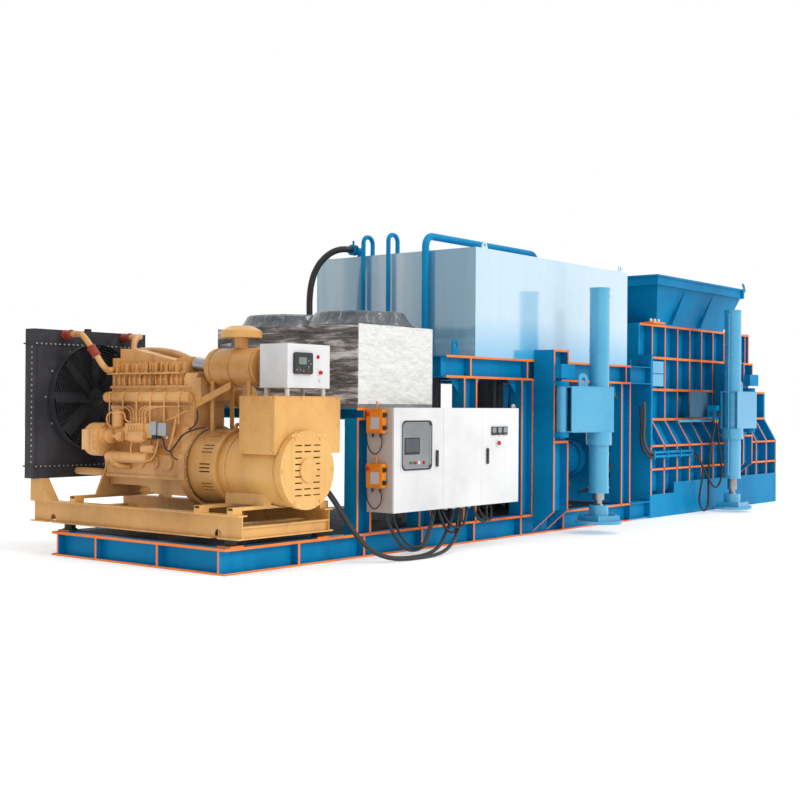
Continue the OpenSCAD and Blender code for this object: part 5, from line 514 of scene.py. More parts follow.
HOSE_B = [(10380, -216, 1430), (10380, -216, 1370), (10382, -222, 1280), (10378, -240, 1130),
    (10380, -258, 980), (10392, -270, 840), (10400, -278, 700), (10390, -282, 570),
    (10340, -284, 465), (10250, -284, 405), (10140, -280, 405), (10045, -266, 470),
    (9998, -236, 560), (9996, -190, 655), (9998, -140, 735), (9982, -85, 815), (9940, -50, 872),
    (9880, -36, 900), (9844, -36, 900)]
HOSE_S = [(3610, 2216, 2330), (3610, 2216, 2400), (3610, 2216, 2470), (3604, 2220, 2640),
    (3598, 2222, 2820), (3596, 2216, 3000), (3606, 2196, 3170), (3636, 2154, 3330),
    (3688, 2086, 3460), (3756, 2008, 3550), (3830, 1932, 3595), (3895, 1882, 3605),
    (3942, 1864, 3605), (3990, 1864, 3605)]


def free_cord(name, route, radius, replaced):
    """Cable or hose that goes back into the machine, as long as its route."""
    piece = spline(name, route, radius, black_rubber, "black_rubber")
    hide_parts(replaced)
    length = sum((Vector(b) - Vector(a)).length for a, b in zip(route, route[1:])) * MM
    at(*route[0])


free_cord("power_cable_a", CABLE_A, CABLE_R, "power_cables")
free_cord("power_cable_b", CABLE_B, CABLE_R, "power_cables")
free_cord("hose_a", HOSE_A, HOSE_R, "hydraulic_hoses")
free_cord("hose_b", HOSE_B, HOSE_R, "hydraulic_hoses")
free_cord("suction_hose", HOSE_S, SUCTION_R, "hydraulic_hoses")


# Orange edges of the plates

EDGE_NODES = ["base_frame", "power_frame", "leg_mounts", "box_walls", "box_plates", "box_frames"]
EDGE_LIFT = 0.0012
EDGE_SPREAD = 0.0065
EDGE_WIDTH = (0.007, 0.027)
EDGE_REACH = 0.15
LINK_X = 1.3


def edges_of(t):
    """The three edges of a triangle, each with the corner across from it."""
    return (t[0], t[1], t[2]), (t[1], t[2], t[0]), (t[2], t[0], t[1])


def edge_faces(node):
    """Flat faces of a node as lists of triangles, found by joining neighbours in one plane."""
    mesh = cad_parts[node].data
    mesh.calc_loop_triangles()
    spots, keys = {}, []
    for v in mesh.vertices:
        key = tuple(round(c, 4) for c in v.co)
        keys.append(spots.setdefault(key, len(spots)))
    places = [None] * len(spots)
    for v, k in zip(mesh.vertices, keys):
        places[k] = v.co.copy()
    triangles = [tuple(keys[i] for i in t.vertices) for t in mesh.loop_triangles]
    normals = [t.normal.copy() for t in mesh.loop_triangles]
    by_edge = {}
    for n, t in enumerate(triangles):
        for a, b, _ in edges_of(t):
            by_edge.setdefault((min(a, b), max(a, b)), []).append(n)
    group = list(range(len(triangles)))

    def root(n):
        while group[n] != n:
            group[n] = group[group[n]]
            n = group[n]
        return n

    for users in by_edge.values():
        for other in users[1:]:
            if normals[users[0]].dot(normals[other]) > 0.9999:
                group[root(other)] = root(users[0])
    found = {}
    for n in range(len(triangles)):
        found.setdefault(root(n), []).append(n)
    for members in found.values():
        border = {}
        for n in members:
            for a, b, _ in edges_of(triangles[n]):
                key = (min(a, b), max(a, b))
                border[key] = border.get(key, 0) + 1
        outline = [k for k, c in border.items() if c == 1]
        around = sum((places[a] - places[b]).length for a, b in outline)
        area = 0.0
        for n in members:
            p, q, r = (places[k] for k in triangles[n])
            area += (q - p).cross(r - p).length / 2
        corners = {k for n in members for k in triangles[n]}
        spans = [[places[k][i] for k in corners] for i in range(3)]
        reach = max(max(span) - min(span) for span in spans)
        shift = {}
        for n in members:
            for a, b, c in edges_of(triangles[n]):
                if border[(min(a, b), max(a, b))] == 1:
                    along = (places[b] - places[a]).normalized()
                    out = (places[a] - places[c]) - (places[a] - places[c]).dot(along) * along
                    for k in (a, b):
                        shift.setdefault(k, []).append(out.normalized())
        grown = {k: places[k] + EDGE_SPREAD * sum((w for w in ways if w.dot(ways[0]) < 0.99), ways[0])
                 for k, ways in shift.items()}
        yield normals[members[0]], 2 * area / max(around, 1e-6), reach, [
            [grown.get(k, places[k]) for k in triangles[n]] for n in members]


def outward(normal, spot):
    """True for an edge that faces a side or an end of the machine."""
    low = cad_box[0]
    if abs(normal.y) > 0.3:
        return (normal.y < 0) == (spot.y < 0)
    return abs(normal.x) > 0.7 and (spot.x < low[0] + 0.2 or abs(spot.x - LINK_X) < 0.3)


points, faces = [], []
for node in EDGE_NODES:
    for normal, width, reach, triangles in edge_faces(node):
        slim = EDGE_WIDTH[0] < width < EDGE_WIDTH[1] and reach > EDGE_REACH
        if slim and outward(normal, triangles[0][0]):
            for triangle in triangles:
                faces.append(tuple(range(len(points), len(points) + 3)))
                points += [p + normal * EDGE_LIFT for p in triangle]
points = [Vector((p.x, p.y, max(p.z, 0.0))) for p in points]
solid("orange_edges", points, faces, orange_edge, "orange_plastic")

# The box's lower grid lies flush with its skirt, so its orange strips are placed one by one
WALL_X, WALL_LEN, RIB_PITCH, RIB_COUNT = 8580, 4680, 424, 12
FOLD_TOP, BAR_Z, SKIRT_TOPS, SKIRT_STEP = 1066, 694, (340, 500), 760
STRIP_W, STRIP_T, STRIP_SPREAD = 28, 1.2, 6
strips = Parts()
for y in (-STRIP_T, BODY_W):
    for n in range(RIB_COUNT):
        foot = SKIRT_TOPS[RIB_PITCH * n >= SKIRT_STEP]
        x = WALL_X + RIB_PITCH * n - STRIP_SPREAD
        strips.box((x, y, foot), (STRIP_W, STRIP_T, FOLD_TOP - foot))
    for z in (BAR_Z, FOLD_TOP - STRIP_W):
        strips.box((WALL_X, y, z), (WALL_LEN, STRIP_T, STRIP_W))
strips.make("wall_strips", orange_edge, "orange_plastic")


# Film round the cooler and over its fan rings

COOL_X, COOL_W, COOL_D, COOL_TOP, FILM_LOW = 1925, 1315, 2130, 2490, 1635
RING_R, RING_TOP = 496, 2640
FILM_STEP, FILM_ROWS, CREASE_SIZE = 16, 64, 30
TENT_TURNS, TENT_RINGS, TENT_REACH = 160, 22, 640


def crease(u, v):
    """Height of the film's creases, coarse to fine."""
    spot = Vector((u * 1.3, v * 4.2, 3.0))
    coarse, middle, fine = (noise.noise(spot * k) for k in (1.7, 4.6, 13.0))
    return CREASE_SIZE * (0.6 * abs(coarse) + 0.3 * abs(middle) + 0.1 * fine)


def band_faces(columns, rows):
    """Faces of a closed band of columns that each have rows + 1 points."""
    faces = []
    for n in range(columns):
        m = (n + 1) % columns
        for r in range(rows):
            a, b = n * (rows + 1) + r, m * (rows + 1) + r
            faces.append((a, b, b + 1, a + 1))
    return faces


def film_wrap():
    """One band of film round the four sides, up to the cooler's top."""
    run = [(COOL_X, 0), (COOL_X + COOL_W, 0), (COOL_X + COOL_W, COOL_D), (COOL_X, COOL_D), (COOL_X, 0)]
    points, columns = [], []
    for (xa, ya), (xb, yb) in zip(run, run[1:]):
        steps = int(math.dist((xa, ya), (xb, yb)) / FILM_STEP)
        out = Vector((yb - ya, xa - xb, 0)).normalized()
        for k in range(steps):
            t = k / steps
            columns.append((Vector((xa + (xb - xa) * t, ya + (yb - ya) * t, 0)), out, t))
    for n, (spot, out, t) in enumerate(columns):
        along = n * FILM_STEP * MM
        for r in range(FILM_ROWS + 1):
            z = FILM_LOW + 3 + (COOL_TOP - FILM_LOW) * r / FILM_ROWS
            edge = min(1.0, 8 * t, 8 * (1 - t))
            lift = 4 + crease(along, z / 1000 + 0.35 * along) * edge
            place = spot + out * lift
            points.append(at(place.x, place.y, z + 3 * noise.noise(Vector((n * 0.2, r * 0.2, 0)))))
    faces = band_faces(len(columns), FILM_ROWS)
    piece = solid("film_wrap", points, faces, film, "film", smooth=True)
    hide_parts("cooler_film")


def film_tent(index, y):
    """Film drawn over a fan ring, its skirt spread on the cooler's top and left open over the fan."""
    points = []
    for k in range(TENT_TURNS):
        a = 2 * math.pi * k / TENT_TURNS
        ca, sa = math.cos(a), math.sin(a)
        reach = min((COOL_W / 2 - 12) / max(abs(ca), 1e-6), (COOL_D / 4 - 6) / max(abs(sa), 1e-6),
                    TENT_REACH)
        reach = max(reach, RING_R + 14)
        for r in range(TENT_RINGS + 1):
            t = r / TENT_RINGS
            if t < 0.6:
                u = t / 0.6
                radius = reach + (RING_R + 8 - reach) * u ** 0.8
                z = COOL_TOP + 8 + (RING_TOP - COOL_TOP) * u ** 1.5
            else:
                u = (t - 0.6) / 0.4
                radius = RING_R + 8 - 90 * u
                z = RING_TOP + 10 + 4 * math.sin(math.pi * u)
            fold = noise.noise(Vector((3.4 * ca, 3.4 * sa, 5.0 * index + 1.2 * t)))
            fine = noise.noise(Vector((13 * ca, 13 * sa, 2.0 * index + 2.0 * t)))
            sag = 1.0 if 0.02 < t < 0.98 else 0.3
            z += sag * (10 * abs(fold) + 5 * abs(fine))
            points.append(at(COOL_X + COOL_W / 2 + radius * ca, y + radius * sa, z))
    faces = band_faces(TENT_TURNS, TENT_RINGS)
    piece = solid("film_tent_%d" % index, points, faces, dark_film, "film", smooth=True)
    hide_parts("cooler_film")


film_wrap()
film_tent(1, COOL_D / 4)
film_tent(2, COOL_D * 3 / 4)

# Electrical cabinet: window, screen, lamps, meters

FACE, LEFT, UP = (0, -1, 0), (-1, 0, 0), (0, 0, 1)
DOOR_Y = -400
WINDOW_X, WINDOW_Z, WINDOW_W, WINDOW_H = 2168, 930, 538, 535
SEAL_W, SEAL_R, SEAL_LIFT, SEAL_DEEP = 22, 58, 8.2, 11.2
PANE_EDGE = 16
METER_X, METER_PITCH, METER_COUNT = 3856, 114.6, 3


def ring_points(x, y, z, w, h, r, steps=6):
    """Outline of an upright rectangle with rounded corners, seen from the near side."""
    found = []
    for cx, cz, start in ((x + w - r, z + r, -90), (x + w - r, z + h - r, 0), (x + r, z + h - r, 90),
                          (x + r, z + r, 180)):
        for k in range(steps + 1):
            a = math.radians(start + 90 * k / steps)
            found.append((cx + r * math.cos(a), y, cz + r * math.sin(a)))
    return found


def window_seal():
    """Rubber frame round the window, low enough for the turned handle to pass over it."""
    front = DOOR_Y - SEAL_LIFT
    outer = (WINDOW_X, WINDOW_Z, WINDOW_W, WINDOW_H, SEAL_R)
    inner = (WINDOW_X + SEAL_W, WINDOW_Z + SEAL_W, WINDOW_W - 2 * SEAL_W, WINDOW_H - 2 * SEAL_W,
             SEAL_R - SEAL_W * 0.5)
    loops = [ring_points(size[0], y, *size[1:]) for y, size in (
        (front + SEAL_DEEP, outer), (front, outer), (front, inner), (front + SEAL_DEEP, inner))]
    n = len(loops[0])
    faces = [(j * n + k, j * n + (k + 1) % n, (j + 1) % 4 * n + (k + 1) % n, (j + 1) % 4 * n + k)
             for j in range(4) for k in range(n)]
    seal = Parts()
    seal.put([p for loop in loops for p in loop], faces)
    seal.make("window_seal", black_plastic, "black_plastic", "door_left")


def panel(parts, x, y, z, w, h, deep, r):
    """Flat plate with rounded corners."""
    back, front = ring_points(x, y + deep, z, w, h, r), ring_points(x, y, z, w, h, r)
    n = len(front)
    faces = [(k, (k + 1) % n, n + (k + 1) % n, n + k) for k in range(n)]
    parts.put(back + front, faces + [tuple(range(n, 2 * n)), tuple(range(n - 1, -1, -1))])


window_seal()
glass = Parts()
panel(glass, WINDOW_X + PANE_EDGE, DOOR_Y + 2.6, WINDOW_Z + PANE_EDGE, WINDOW_W - 2 * PANE_EDGE,
      WINDOW_H - 2 * PANE_EDGE, 1, 40)
glass.make("window_pane", pane, "grey_gear", "door_left")
screen = Parts()
panel(screen, 2228, DOOR_Y + 1.0, 1100, 268, 180, 1.5, 8)
for k in range(5):
    panel(screen, 2250 + 45 * k, DOOR_Y - 0.5, 1108, 26, 9, 2, 3)
screen.make("screen_frame", black_paint, "black_plastic", "door_left")
glow = Parts()
panel(glow, 2246, DOOR_Y + 0.2, 1126, 232, 142, 1.2, 4)
glow.make("screen_glass", screen_glass, "black_plastic", "door_left")
strip = Parts()
for k in range(9):
    for z, high in ((1362, 14), (1330, 10)):
        panel(strip, 2250 + 32 * k, DOOR_Y + 1.6, z, 18, high, 1.2, 3)
strip.make("terminal_marks", grey_gear, "grey_gear", "door_left")
for name, x, material, slot in (("lamp_white", 2479, white, "white_paint"),
                                ("selector", 2568, red_plastic, "red_plastic")):
    lamp = Parts()
    lamp.rod((x, DOOR_Y + 4, 1010), (x, DOOR_Y - 9, 1010),
             [(0, 19), (0.4, 19), (0.5, 14), (0.9, 14), (1, 10)], 20)
    lamp.make(name, material, slot, "door_left")
meters, dials = Parts(), Parts()
for k in range(METER_COUNT):
    x = METER_X + METER_PITCH * k
    panel(meters, x - 6, DOOR_Y - 14, 1289, 96, 96, 13, 6)
    panel(dials, x + 4, DOOR_Y - 15, 1317, 76, 58, 1.5, 4)
    dials.rod((x + 42, DOOR_Y - 14, 1303), (x + 42, DOOR_Y - 18, 1303), [(0, 7), (1, 5)], 12)
meters.make("meter_frames", black_paint, "black_plastic", "door_right")
dials.make("meter_dials", grey_gear, "grey_gear", "door_right")
knob = Parts()
knob.rod((3978, DOOR_Y - 15, 1195), (3978, DOOR_Y - 40, 1195),
         [(0, 14), (0.2, 26), (0.8, 26), (1, 18)], 28)
knob.make("main_knob", red_plastic, "red_plastic", "door_right")

# Control box: controller, keys and lamp

KEY_Y = -200
bezel = Parts()
panel(bezel, 730, KEY_Y - 2, 1926, 268, 214, 22, 22)
bezel.make("controller_frame", black_plastic, "black_plastic", bevel=0.003)
display = Parts()
panel(display, 790, KEY_Y - 3, 2022, 112, 70, 2, 6)
display.make("controller_display", display_glass, "grey_gear")
for name, material, slot, spots in (
        ("keys_grey", grey_gear, "grey_gear",
         [(760, 1966), (808, 1966), (856, 1958), (930, 2060), (962, 2030), (930, 2000)]),
        ("keys_red", red_plastic, "red_plastic", [(785, 1948), (925, 1948)]),
        ("keys_green", green_plastic, "green_plastic", [(785, 1985), (925, 1982)])):
    keys = Parts()
    for x, z in spots:
        keys.rod((x, KEY_Y, z), (x, KEY_Y - 7, z), [(0, 10), (0.7, 10), (1, 7)], 16)
    keys.make(name, material, slot)
lamp = Parts()
lamp.rod((1092, -176, 2103), (1092, -198, 2103),
         [(0, 20), (0.3, 20), (0.4, 15), (0.8, 14), (1, 8)], 24)
lamp.make("alarm_lamp", red_plastic, "red_plastic")

# Receivers on the cabinet's left side, each with a lead that goes back into the cabinet

RADIO_X, RADIO_Y, RADIO_W, RADIO_ZS = 1951, -309, 215, (756, 1334)
LEAD_X = 2001
plates, clips, knobs = Parts(), Parts(), Parts()
for z in RADIO_ZS:
    x, y = RADIO_X, RADIO_Y
    corners = [(y + 34, z + 40), (y + 150, z + 40), (y + 150, z + 165), (y + 34, z + 165)]
    plates.bar([(x + 6, a, b) for a, b in corners], [(x - 3, a, b) for a, b in corners])
    knobs.rod((x + 2, y + 182, z + 200), (x - 26, y + 182, z + 200),
              [(0, 24), (0.5, 24), (0.8, 19), (1, 12)], 24)
    for low in (z + 30, z + 165):
        clips.box((x + 16, y - 20, low), (46, 19, 48))
        clips.box((x + 30, y - 34, low + 12), (20, 14, 22))
    for k in (0.25, 0.75):
        gland_y = y + RADIO_W * k
        clips.rod((LEAD_X, gland_y, z - 12), (LEAD_X, gland_y, z - 52),
                  [(0, 13), (0.5, 15), (0.6, 10), (1, 8)], 16)
plates.make("receiver_plates", label_grey, "grey_gear", bevel=0.002)
knobs.make("receiver_knobs", red_plastic, "red_plastic")
clips.make("receiver_clips", black_plastic, "black_plastic", bevel=0.003)
LEAD = [(0, -272, -50), (-1, -274, -110), (1, -240, -190), (4, -170, -225), (5, -100, -180),
        (5, -60, -60), (5, -52, 40)]
for k, z in enumerate(RADIO_ZS):
    spline("receiver_lead_%d" % (k + 1), [(LEAD_X + dx, y, z + dz) for dx, y, dz in LEAD], 6,
           black_rubber, "black_rubber")

# Loops of cable under the cabinet, each hanging between two glands

LOOP_Y, LOOP_BOW, LOOP_SIDE, LOOP_STEPS, GLAND_RISE = -250, 60, 14, 12, 40
LOOP_RADII = (17, 13)
LOOPS = [((2110, 454), (2960, 454), 395), ((2200, 454), (2900, 454), 355),
         ((3040, 454), (3420, 454), 250), ((3090, 454), (3560, 454), 205),
         ((3700, 454), (3980, 420), 150), ((3790, 454), (4060, 420), 140)]
for k, ((xa, za), (xb, zb), sag) in enumerate(LOOPS):
    route = [(xa, LOOP_Y, za + GLAND_RISE)]
    for n in range(LOOP_STEPS + 1):
        t = n / LOOP_STEPS
        drop = sag * (1 - abs(2 * t - 1) ** 2.6)
        y = LOOP_Y - LOOP_BOW * math.sin(math.pi * t) - LOOP_SIDE * (k % 2)
        route.append((xa + (xb - xa) * t, y, za + (zb - za) * t - drop))
    route.append((xb, LOOP_Y, zb + GLAND_RISE))
    spline("cabinet_loop_%d" % (k + 1), route, LOOP_RADII[k % 2], black_rubber, "black_rubber")

# Radiator bolts and hose sleeves

RADIATOR_Y = 2984
studs = Parts()
for k in range(26):
    x = 42 + 1516 * k / 25
    for z in (2276, 932):
        studs.bolt((x, RADIATOR_Y, z), FACE, 8, 8)
for k in range(22):
    studs.bolt((20, RADIATOR_Y + 56, 980 + 1260 * k / 21), LEFT, 8, 8)
studs.bolt_ring((800, RADIATOR_Y, 1690), (640, 575), 12, FACE, 10, 8)
studs.make("radiator_bolts", bright_metal, "galvanised")
sleeves = Parts()
CLAMPED = [(0, 46), (0.06, 48), (0.1, 53), (0.18, 53), (0.22, 48), (0.78, 48), (0.82, 53),
           (0.9, 53), (0.94, 48), (1, 46)]
for start, end in (((410, 2996, 2387), (410, 2850, 2387)),
                   ((1236.8, 2996, 2387), (1236.8, 2850, 2387)),
                   ((440, 2568, 2246), (468, 2496, 2138))):
    sleeves.rod(start, end, CLAMPED, 32)
sleeves.make("hose_sleeves", red_rubber, "black_rubber")

# Engine: ribs, flanges, bolts, fuel gear and wiring

CAST, SLOT = ochre_cast, "ochre_paint"
CRANK_X, CRANK_Z = 800, 985
CYL_Y, CYL_PITCH, CYLS = 1180, 220, 6
LINE_Y, LINE_PITCH = 1692, 46
DRIVE_X, DRIVE_Z = 424, 1276
ribs = Parts()
for k in range(13):
    y = 1330 + 84 * k
    ribs.bar([(618, y, 1826), (618, y + 14, 1826), (618, y + 44, 1944), (618, y + 30, 1944)],
             [(584, y, 1832), (584, y + 14, 1832), (606, y + 44, 1936), (606, y + 30, 1936)])
ribs.make("cover_ribs", CAST, SLOT, bevel=0.004)
flange = Parts()
flange.box((574, 1300, 1940), (70, 1160, 16))
flange.box((578, 1110, 1790), (60, 1300, 18))
flange.box((560, 1090, 1712), (56, 1340, 16))
for k in range(7):
    flange.rod((640, 1400 + 160 * k, 1956), (640, 1400 + 160 * k, 2060),
               [(0, 26), (0.1, 18), (0.9, 18), (1, 26)], 16)
for k in range(8):
    flange.box((636, 1362 + 136 * k, 1962), (12, 16, 96))
flange.make("cover_flanges", ochre, SLOT, bevel=0.004)
band = Parts()
band.rod((548, 1086, 1694), (548, 2448, 1694),
         [(0, 30), (0.015, 52), (0.03, 58), (0.97, 58), (0.985, 52), (1, 30)], 36)
for k in range(CYLS):
    y = CYL_Y + CYL_PITCH * k
    band.rod((548, y, 1694), (612, y, 1694), [(0, 46), (0.8, 46), (0.82, 56), (1, 56)], 28)
band.make("inlet_band", ochre, SLOT, bevel=0.002)
heads = Parts()
for k in range(34):
    y = 1104 + 39 * k
    heads.bolt((590, y, 1650), (-1, 0, 0.2), 8, 16)
    heads.bolt((566, y, 1604), LEFT, 7, 12)
    if k % 2:
        heads.bolt((586, y, 1808), UP, 9, 10)
        heads.bolt((600, 1240 + 35 * k if k < 33 else 2400, 1956), UP, 8, 9)
for k in range(30):
    heads.bolt((514, 1090 + 44 * k, 866), LEFT, 8, 8)
    heads.bolt((532, 1090 + 44 * k, 1040), LEFT, 7, 8)
for k in range(CYLS):
    heads.bolt_ring((514, CYL_Y + CYL_PITCH * k, 1010), (66, 66), 8, LEFT, 6, 6)
heads.bolt_ring((CRANK_X, 980, CRANK_Z), (412, 412), 20, FACE, 9, 9)
heads.bolt_ring((440, 2298, 1237), (156, 156), 14, FACE, 9, 9)
heads.make("engine_bolts", ochre_bolt_highlight, SLOT)
drive = Parts()
drive.rod((DRIVE_X, 2300, DRIVE_Z), (DRIVE_X, 1990, DRIVE_Z),
          [(0, 92), (0.1, 92), (0.12, 60), (0.3, 60), (0.32, 78), (0.42, 78), (0.45, 26), (0.75, 26),
           (0.78, 58), (0.92, 58), (1, 40)], 36)
drive.bolt_ring((DRIVE_X, 2270, DRIVE_Z), (76, 76), 8, FACE, 7, 8)
drive.rod((DRIVE_X, 1900, DRIVE_Z), (DRIVE_X, 1640, DRIVE_Z),
          [(0, 44), (0.2, 62), (0.8, 62), (1, 40)], 28)
drive.rod((432, 1500, 1150), (432, 1700, 1150), [(0, 30), (0.1, 44), (0.9, 44), (1, 30)], 28)
drive.make("fuel_pump_drive", CAST, SLOT, bevel=0.003)
plungers = Parts()
for k in range(CYLS):
    y = LINE_Y + LINE_PITCH * k
    plungers.rod((470, y, 1410), (470, y, 1480),
                 [(0, 17), (0.4, 17), (0.45, 12), (0.8, 12), (0.85, 15), (1, 9)], 14)
    plungers.box((414, y - 14, 1330), (12, 28, 60))
plungers.rod((446, 2106, 1550), (446, 2106, 1368),
             [(0, 30), (0.06, 66), (0.2, 66), (0.22, 58), (0.9, 58), (0.97, 44), (1, 16)], 32)
plungers.make("fuel_fittings", CAST, SLOT, bevel=0.002)
for k in range(CYLS):
    y, far = LINE_Y + LINE_PITCH * k, CYL_Y + CYL_PITCH * k
    route = [(470, y, 1478), (462, y, 1530), (466, y + (far - y) * 0.18, 1574),
             (490, y + (far - y) * 0.7, 1598), (540, far, 1606), (566, far, 1612)]
    spline("fuel_line_%d" % (k + 1), route, 6, CAST, SLOT)
ENGINE_PIPES = (
    ("fuel_hose_1", 9, [(446, 2150, 1520), (430, 2220, 1524), (420, 2262, 1470), (424, 2236, 1400),
        (440, 2130, 1352), (452, 2000, 1348), (456, 1930, 1380)]),
    ("fuel_hose_2", 8, [(446, 2060, 1526), (430, 1990, 1520), (424, 1950, 1450), (436, 1900, 1430),
        (450, 1860, 1436)]),
    ("fuel_hose_3", 8, [(430, 1840, 1240), (406, 1850, 1160), (400, 1790, 1060), (410, 1640, 1030),
        (406, 1500, 1060), (420, 1450, 1180), (440, 1452, 1270)]),
    ("oil_filler", 30, [(528, 2210, 1100), (470, 2200, 1104), (428, 2180, 1080), (420, 2140, 1010),
        (440, 2060, 960), (520, 2000, 950)]),
    ("water_pipe", 12, [(566, 1130, 1560), (520, 1160, 1540), (508, 1240, 1500), (506, 1330, 1470),
        (500, 1420, 1440)]),
    ("oil_pipe", 14, [(530, 1350, 1120), (490, 1340, 1130), (484, 1300, 1240), (500, 1270, 1400),
        (520, 1260, 1500), (560, 1260, 1560)]))
for name, radius, route in ENGINE_PIPES:
    spline(name, route, radius, CAST, SLOT)
governor = Parts()
governor.box((398, 1290, 1296), (60, 130, 132))
governor.box((392, 1432, 1300), (64, 112, 140))
governor.rod((424, 1300, 1290), (424, 1300, 1262), [(0, 16), (1, 14)], 14)
for x, y, z in ((397, 1300, 1306), (397, 1410, 1306), (397, 1300, 1418), (397, 1410, 1418),
                (391, 1440, 1310), (391, 1534, 1310), (391, 1440, 1430), (391, 1534, 1430)):
    governor.bolt((x, y, z), LEFT, 6, 5)
governor.make("speed_actuator", bright_metal, "galvanised", bevel=0.006)
plug = Parts()
plug.box((404, 1450, 1256), (44, 70, 42))
plug.rod((426, 1440, 1276), (426, 1400, 1276), [(0, 16), (0.5, 18), (1, 10)], 16)
plug.make("actuator_plug", black_plastic, "black_plastic", bevel=0.004)
ENGINE_LEADS = (
    ("actuator_lead", 9, [(426, 1404, 1276), (420, 1360, 1262), (410, 1320, 1180),
        (404, 1240, 1140), (410, 1160, 1200), (420, 1080, 1290), (440, 1000, 1340),
        (470, 900, 1372), (500, 800, 1392)]),
    ("sensor_lead", 7, [(410, 1240, 1141), (404, 1180, 1080), (420, 1110, 1050), (470, 1050, 1060)]),
    ("earth_lead", 8, [(560, 1000, 1560), (530, 960, 1480), (520, 1000, 1400), (500, 1060, 1360)]))
for name, radius, route in ENGINE_LEADS:
    spline(name, route, radius, black_rubber, "black_rubber")
strut = Parts()
strut.bar([(596, 1120, 1560), (596, 1120, 1640), (612, 1120, 1640), (612, 1120, 1560)],
          [(596, 560, 1780), (596, 560, 1850), (612, 560, 1850), (612, 560, 1780)])
for y, z in ((1090, 1612), (1040, 1630), (600, 1800)):
    strut.bolt((596, y, z), LEFT, 12, 10)
strut.make("air_cleaner_strut", ochre, SLOT, bevel=0.003)
hose = Parts()
corrugated = [(0.02 + 0.96 * k / 32, 74 if k % 2 else 66) for k in range(33)]
hose.rod((800, 940, 2000), (800, 1270, 2052), [(0, 62), *corrugated, (1, 62)], 40)
hose.make("air_hose_wire", galvanised, "galvanised")

# Alternator: cover bolts and lifting hooks

BOX_Y, BOX_X = -236, 411
cover = Parts()
cover.bolt_ring((CRANK_X, -320, CRANK_Z), (368, 368), 8, FACE, 11, 11, first=22.5)
for x in (560, 1020):
    cover.rod((x, -322, 1318), (x + 30, -350, 1340), [(0, 8), (1, 8)], 12)
    cover.rod((x + 30, -350, 1340), (x + 60, -322, 1352), [(0, 8), (1, 8)], 12)
for x in (430, 800, 1340):
    cover.bolt((x, BOX_Y - 2, 1690), FACE, 8, 8)
for x, z in ((430, 1180), (1350, 1180), (1350, 1420)):
    cover.bolt((x, BOX_Y, z), FACE, 8, 8)
for y in (-200, 0, 200):
    for z in (1690, 1160):
        cover.bolt((BOX_X, y, z), LEFT, 8, 8)
cover.make("alternator_bolts", ochre_bolt_highlight, SLOT)

# Hoses and filters on the deck behind the cabinet and the first leg

DECK_Z = 262
FILTER = [(0, 120), (0.02, 150), (0.5, 150), (0.52, 165), (0.56, 165), (0.58, 140), (0.97, 140),
          (1, 90)]
filters = Parts()
for x, y, top in ((4340, 900, 2080), (4620, 1250, 2080), (5200, 1500, 2080), (5420, 760, 2060),
                  (6300, 1240, 1980)):
    filters.rod((x, y, DECK_Z), (x, y, top), FILTER, 28)
filters.make("return_filters", black_paint, "black_paint")
DECK_HOSES = (
    (26, black_rubber, [(4300, 300, 1960), (4280, 290, 1700), (4330, 320, 1300), (4420, 400, 900),
        (4400, 560, 560), (4360, 700, 320)]),
    (26, black_rubber, [(5250, 240, 1960), (5230, 250, 1700), (5260, 300, 1200), (5340, 380, 800),
        (5420, 520, 420), (5460, 640, 300)]),
    (26, black_rubber, [(5560, 300, 1900), (5600, 290, 1600), (5620, 330, 1200), (5700, 420, 820),
        (5820, 520, 700), (5900, 560, 660)]),
    (20, brown_hose, [(7700, 160, 1900), (7720, 130, 1500), (7760, 140, 1100), (7700, 170, 800),
        (7560, 240, 560), (7300, 330, 480)]),
    (20, black_rubber, [(7740, 200, 1900), (7800, 180, 1500), (7860, 190, 1100), (7800, 220, 700),
        (7600, 300, 500), (7260, 420, 430)]),
    (20, brown_hose, [(8440, 40, 1700), (8400, 10, 1450), (8360, 0, 1200), (8400, -20, 1040),
        (8480, -34, 975), (8598, -36, 960)]),
    (20, black_rubber, [(8420, 90, 1640), (8370, 50, 1380), (8330, 20, 1100), (8380, -10, 960),
        (8470, -32, 905), (8598, -36, 900)]))
for k, (radius, material, route) in enumerate(DECK_HOSES):
    spline("deck_hose_%d" % (k + 1), route, radius, material, "black_rubber")
fittings = Parts()
for z in (900, 960):
    for a, b in ((8560, 8612), (9826, 9872)):
        fittings.rod((a, -36, z), (b, -36, z),
                     [(0, 19), (0.3, 19), (0.32, 25), (0.7, 25), (0.72, 21), (1, 21)], 24)
for x in (10300, 10380):
    fittings.rod((x, -216, 1434), (x, -216, 1384), [(0, 24), (0.4, 24), (0.45, 19), (1, 18)], 24)
fittings.make("hose_fittings", brass, "bare_steel")

# Shear box: plates, bar, tile and valve face

wall = Parts()
for z in (1936, 2126):
    wall.box((8606, 8, z), (384, 12, 178))
wall.rod((9380, -58, 1420), (10500, -58, 1420), [(0, 16), (1, 16)], 8)
wall.box((9360, -64, 1400), (1160, 14, 34))
for x in (9600, 9950, 10300):
    wall.bolt((x, -64, 1416), FACE, 14, 14)
wall.make("wall_plates", blue_leg, "blue_paint", bevel=0.002)
cover_plate = Parts()
cover_plate.box((9800, -34, 1476), (640, 10, 400))
for x in (9830, 10410):
    for z in (1506, 1846):
        cover_plate.bolt((x, -34, z), FACE, 10, 9)
cover_plate.make("wall_cover", dull_plate, "blue_paint", bevel=0.002)
tile = Parts()
tile.box((8592, -24, 2856), (380, 150, 26))
tile.make("wall_tile", orange_edge, "orange_plastic", bevel=0.003)
pegs = Parts()
for x in (8640, 8760, 8880):
    pegs.rod((x, 40, 2880), (x, 40, 2930), [(0, 20), (0.7, 20), (1, 14)], 18)
pegs.make("wall_studs", white, "white_paint")
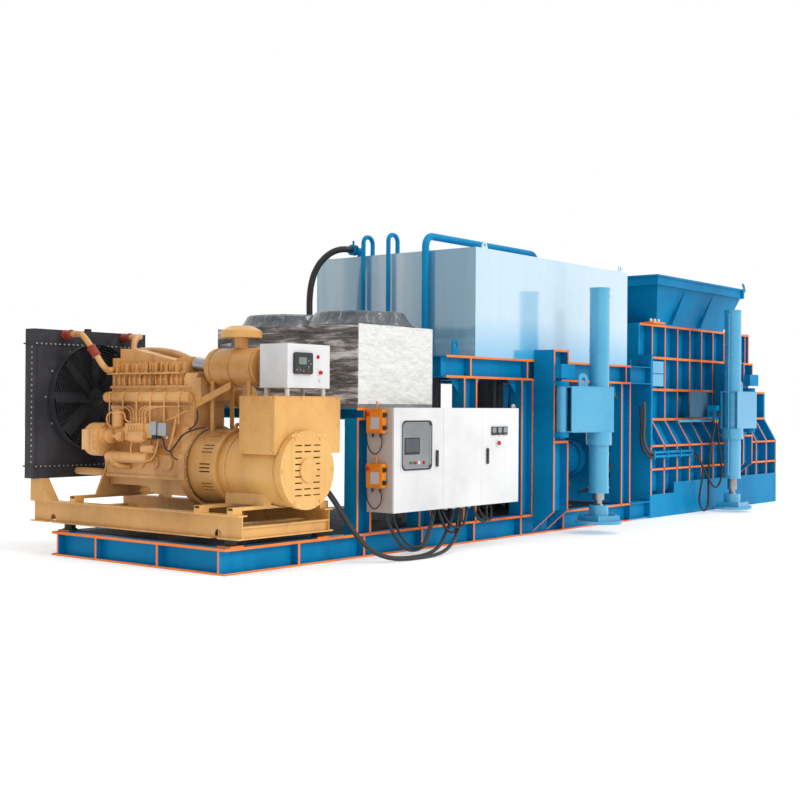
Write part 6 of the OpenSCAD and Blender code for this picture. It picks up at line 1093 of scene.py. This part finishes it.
valve = Parts()
valve.box((10290, -262, 1486), (100, 20, 90))
for x in (10316, 10364):
    for z in (1510, 1556):
        valve.rod((x, -262, z), (x, -284, z), [(0, 17), (0.6, 17), (1, 12)], 12)
for start, end in ((10280, 10250), (10400, 10440)):
    valve.rod((start, -180, 1532), (end, -180, 1532), [(0, 24), (0.6, 24), (1, 16)], 20)
valve.make("valve_caps", black_paint, "black_paint", bevel=0.002)


# Floor and light

FLOOR_HALF = 60.0


def set_card(name, corners, shade, seen=True):
    """Flat four-cornered piece of the studio."""
    data = bpy.data.meshes.new(name)
    data.from_pydata(corners, [], [(0, 1, 2, 3)])
    data.materials.append(shade.mat)
    card = bpy.data.objects.new(name, data)
    add_to_scene(card)
    card.visible_camera = seen


floor_shade = Shade("pale_floor", Roughness=0.8, Specular_IOR_Level=0.1,
                    Emission_Color=(1.0, 1.0, 1.0, 1.0), Emission_Strength=0.42)
floor_shade.colour(floor_shade.ramp(floor_shade.noise(0.4, 3.0), (0.2, 0.6), (0.8, 0.63)))
set_card("floor", [(-FLOOR_HALF, -FLOOR_HALF, 0), (FLOOR_HALF, -FLOOR_HALF, 0),
                   (FLOOR_HALF, FLOOR_HALF, 0), (-FLOOR_HALF, FLOOR_HALF, 0)], floor_shade)

world = bpy.data.worlds.new("studio")
world.use_nodes = True
sky = world.node_tree.nodes["Background"]
sky.inputs["Color"].default_value = (1.0, 1.0, 1.0, 1.0)
sky.inputs["Strength"].default_value = 1.0
bpy.context.scene.world = world


def sun(name, toward, strength, spread, colour=(1.0, 1.0, 1.0)):
    lamp = bpy.data.lights.new(name, "SUN")
    lamp.energy, lamp.angle, lamp.color = strength, math.radians(spread), colour
    holder = bpy.data.objects.new(name, lamp)
    holder.rotation_euler = Vector(toward).to_track_quat("-Z", "Y").to_euler()
    add_to_scene(holder)


sun("key_light", (-0.15, 0.85, -0.55), 0.85, 14.0, (1.0, 0.985, 0.96))
sun("top_light", (-0.35, 0.25, -0.9), 0.5, 30.0)

# Dark card beyond the generator end, out of the picture, that keeps that side of the machine in shade
card_shade = Shade("shade_card", Roughness=1.0, Specular_IOR_Level=0.0)
card_shade.colour(card_shade.ramp(card_shade.noise(0.3), (0.3, 0.42), (0.7, 0.5)))
set_card("shade_card", [(-19, -8, 0.2), (-15, 22, 0.2), (-15, 22, 11), (-19, -8, 11)], card_shade,
         seen=False)
bpy.context.scene.view_settings.view_transform = "Standard"
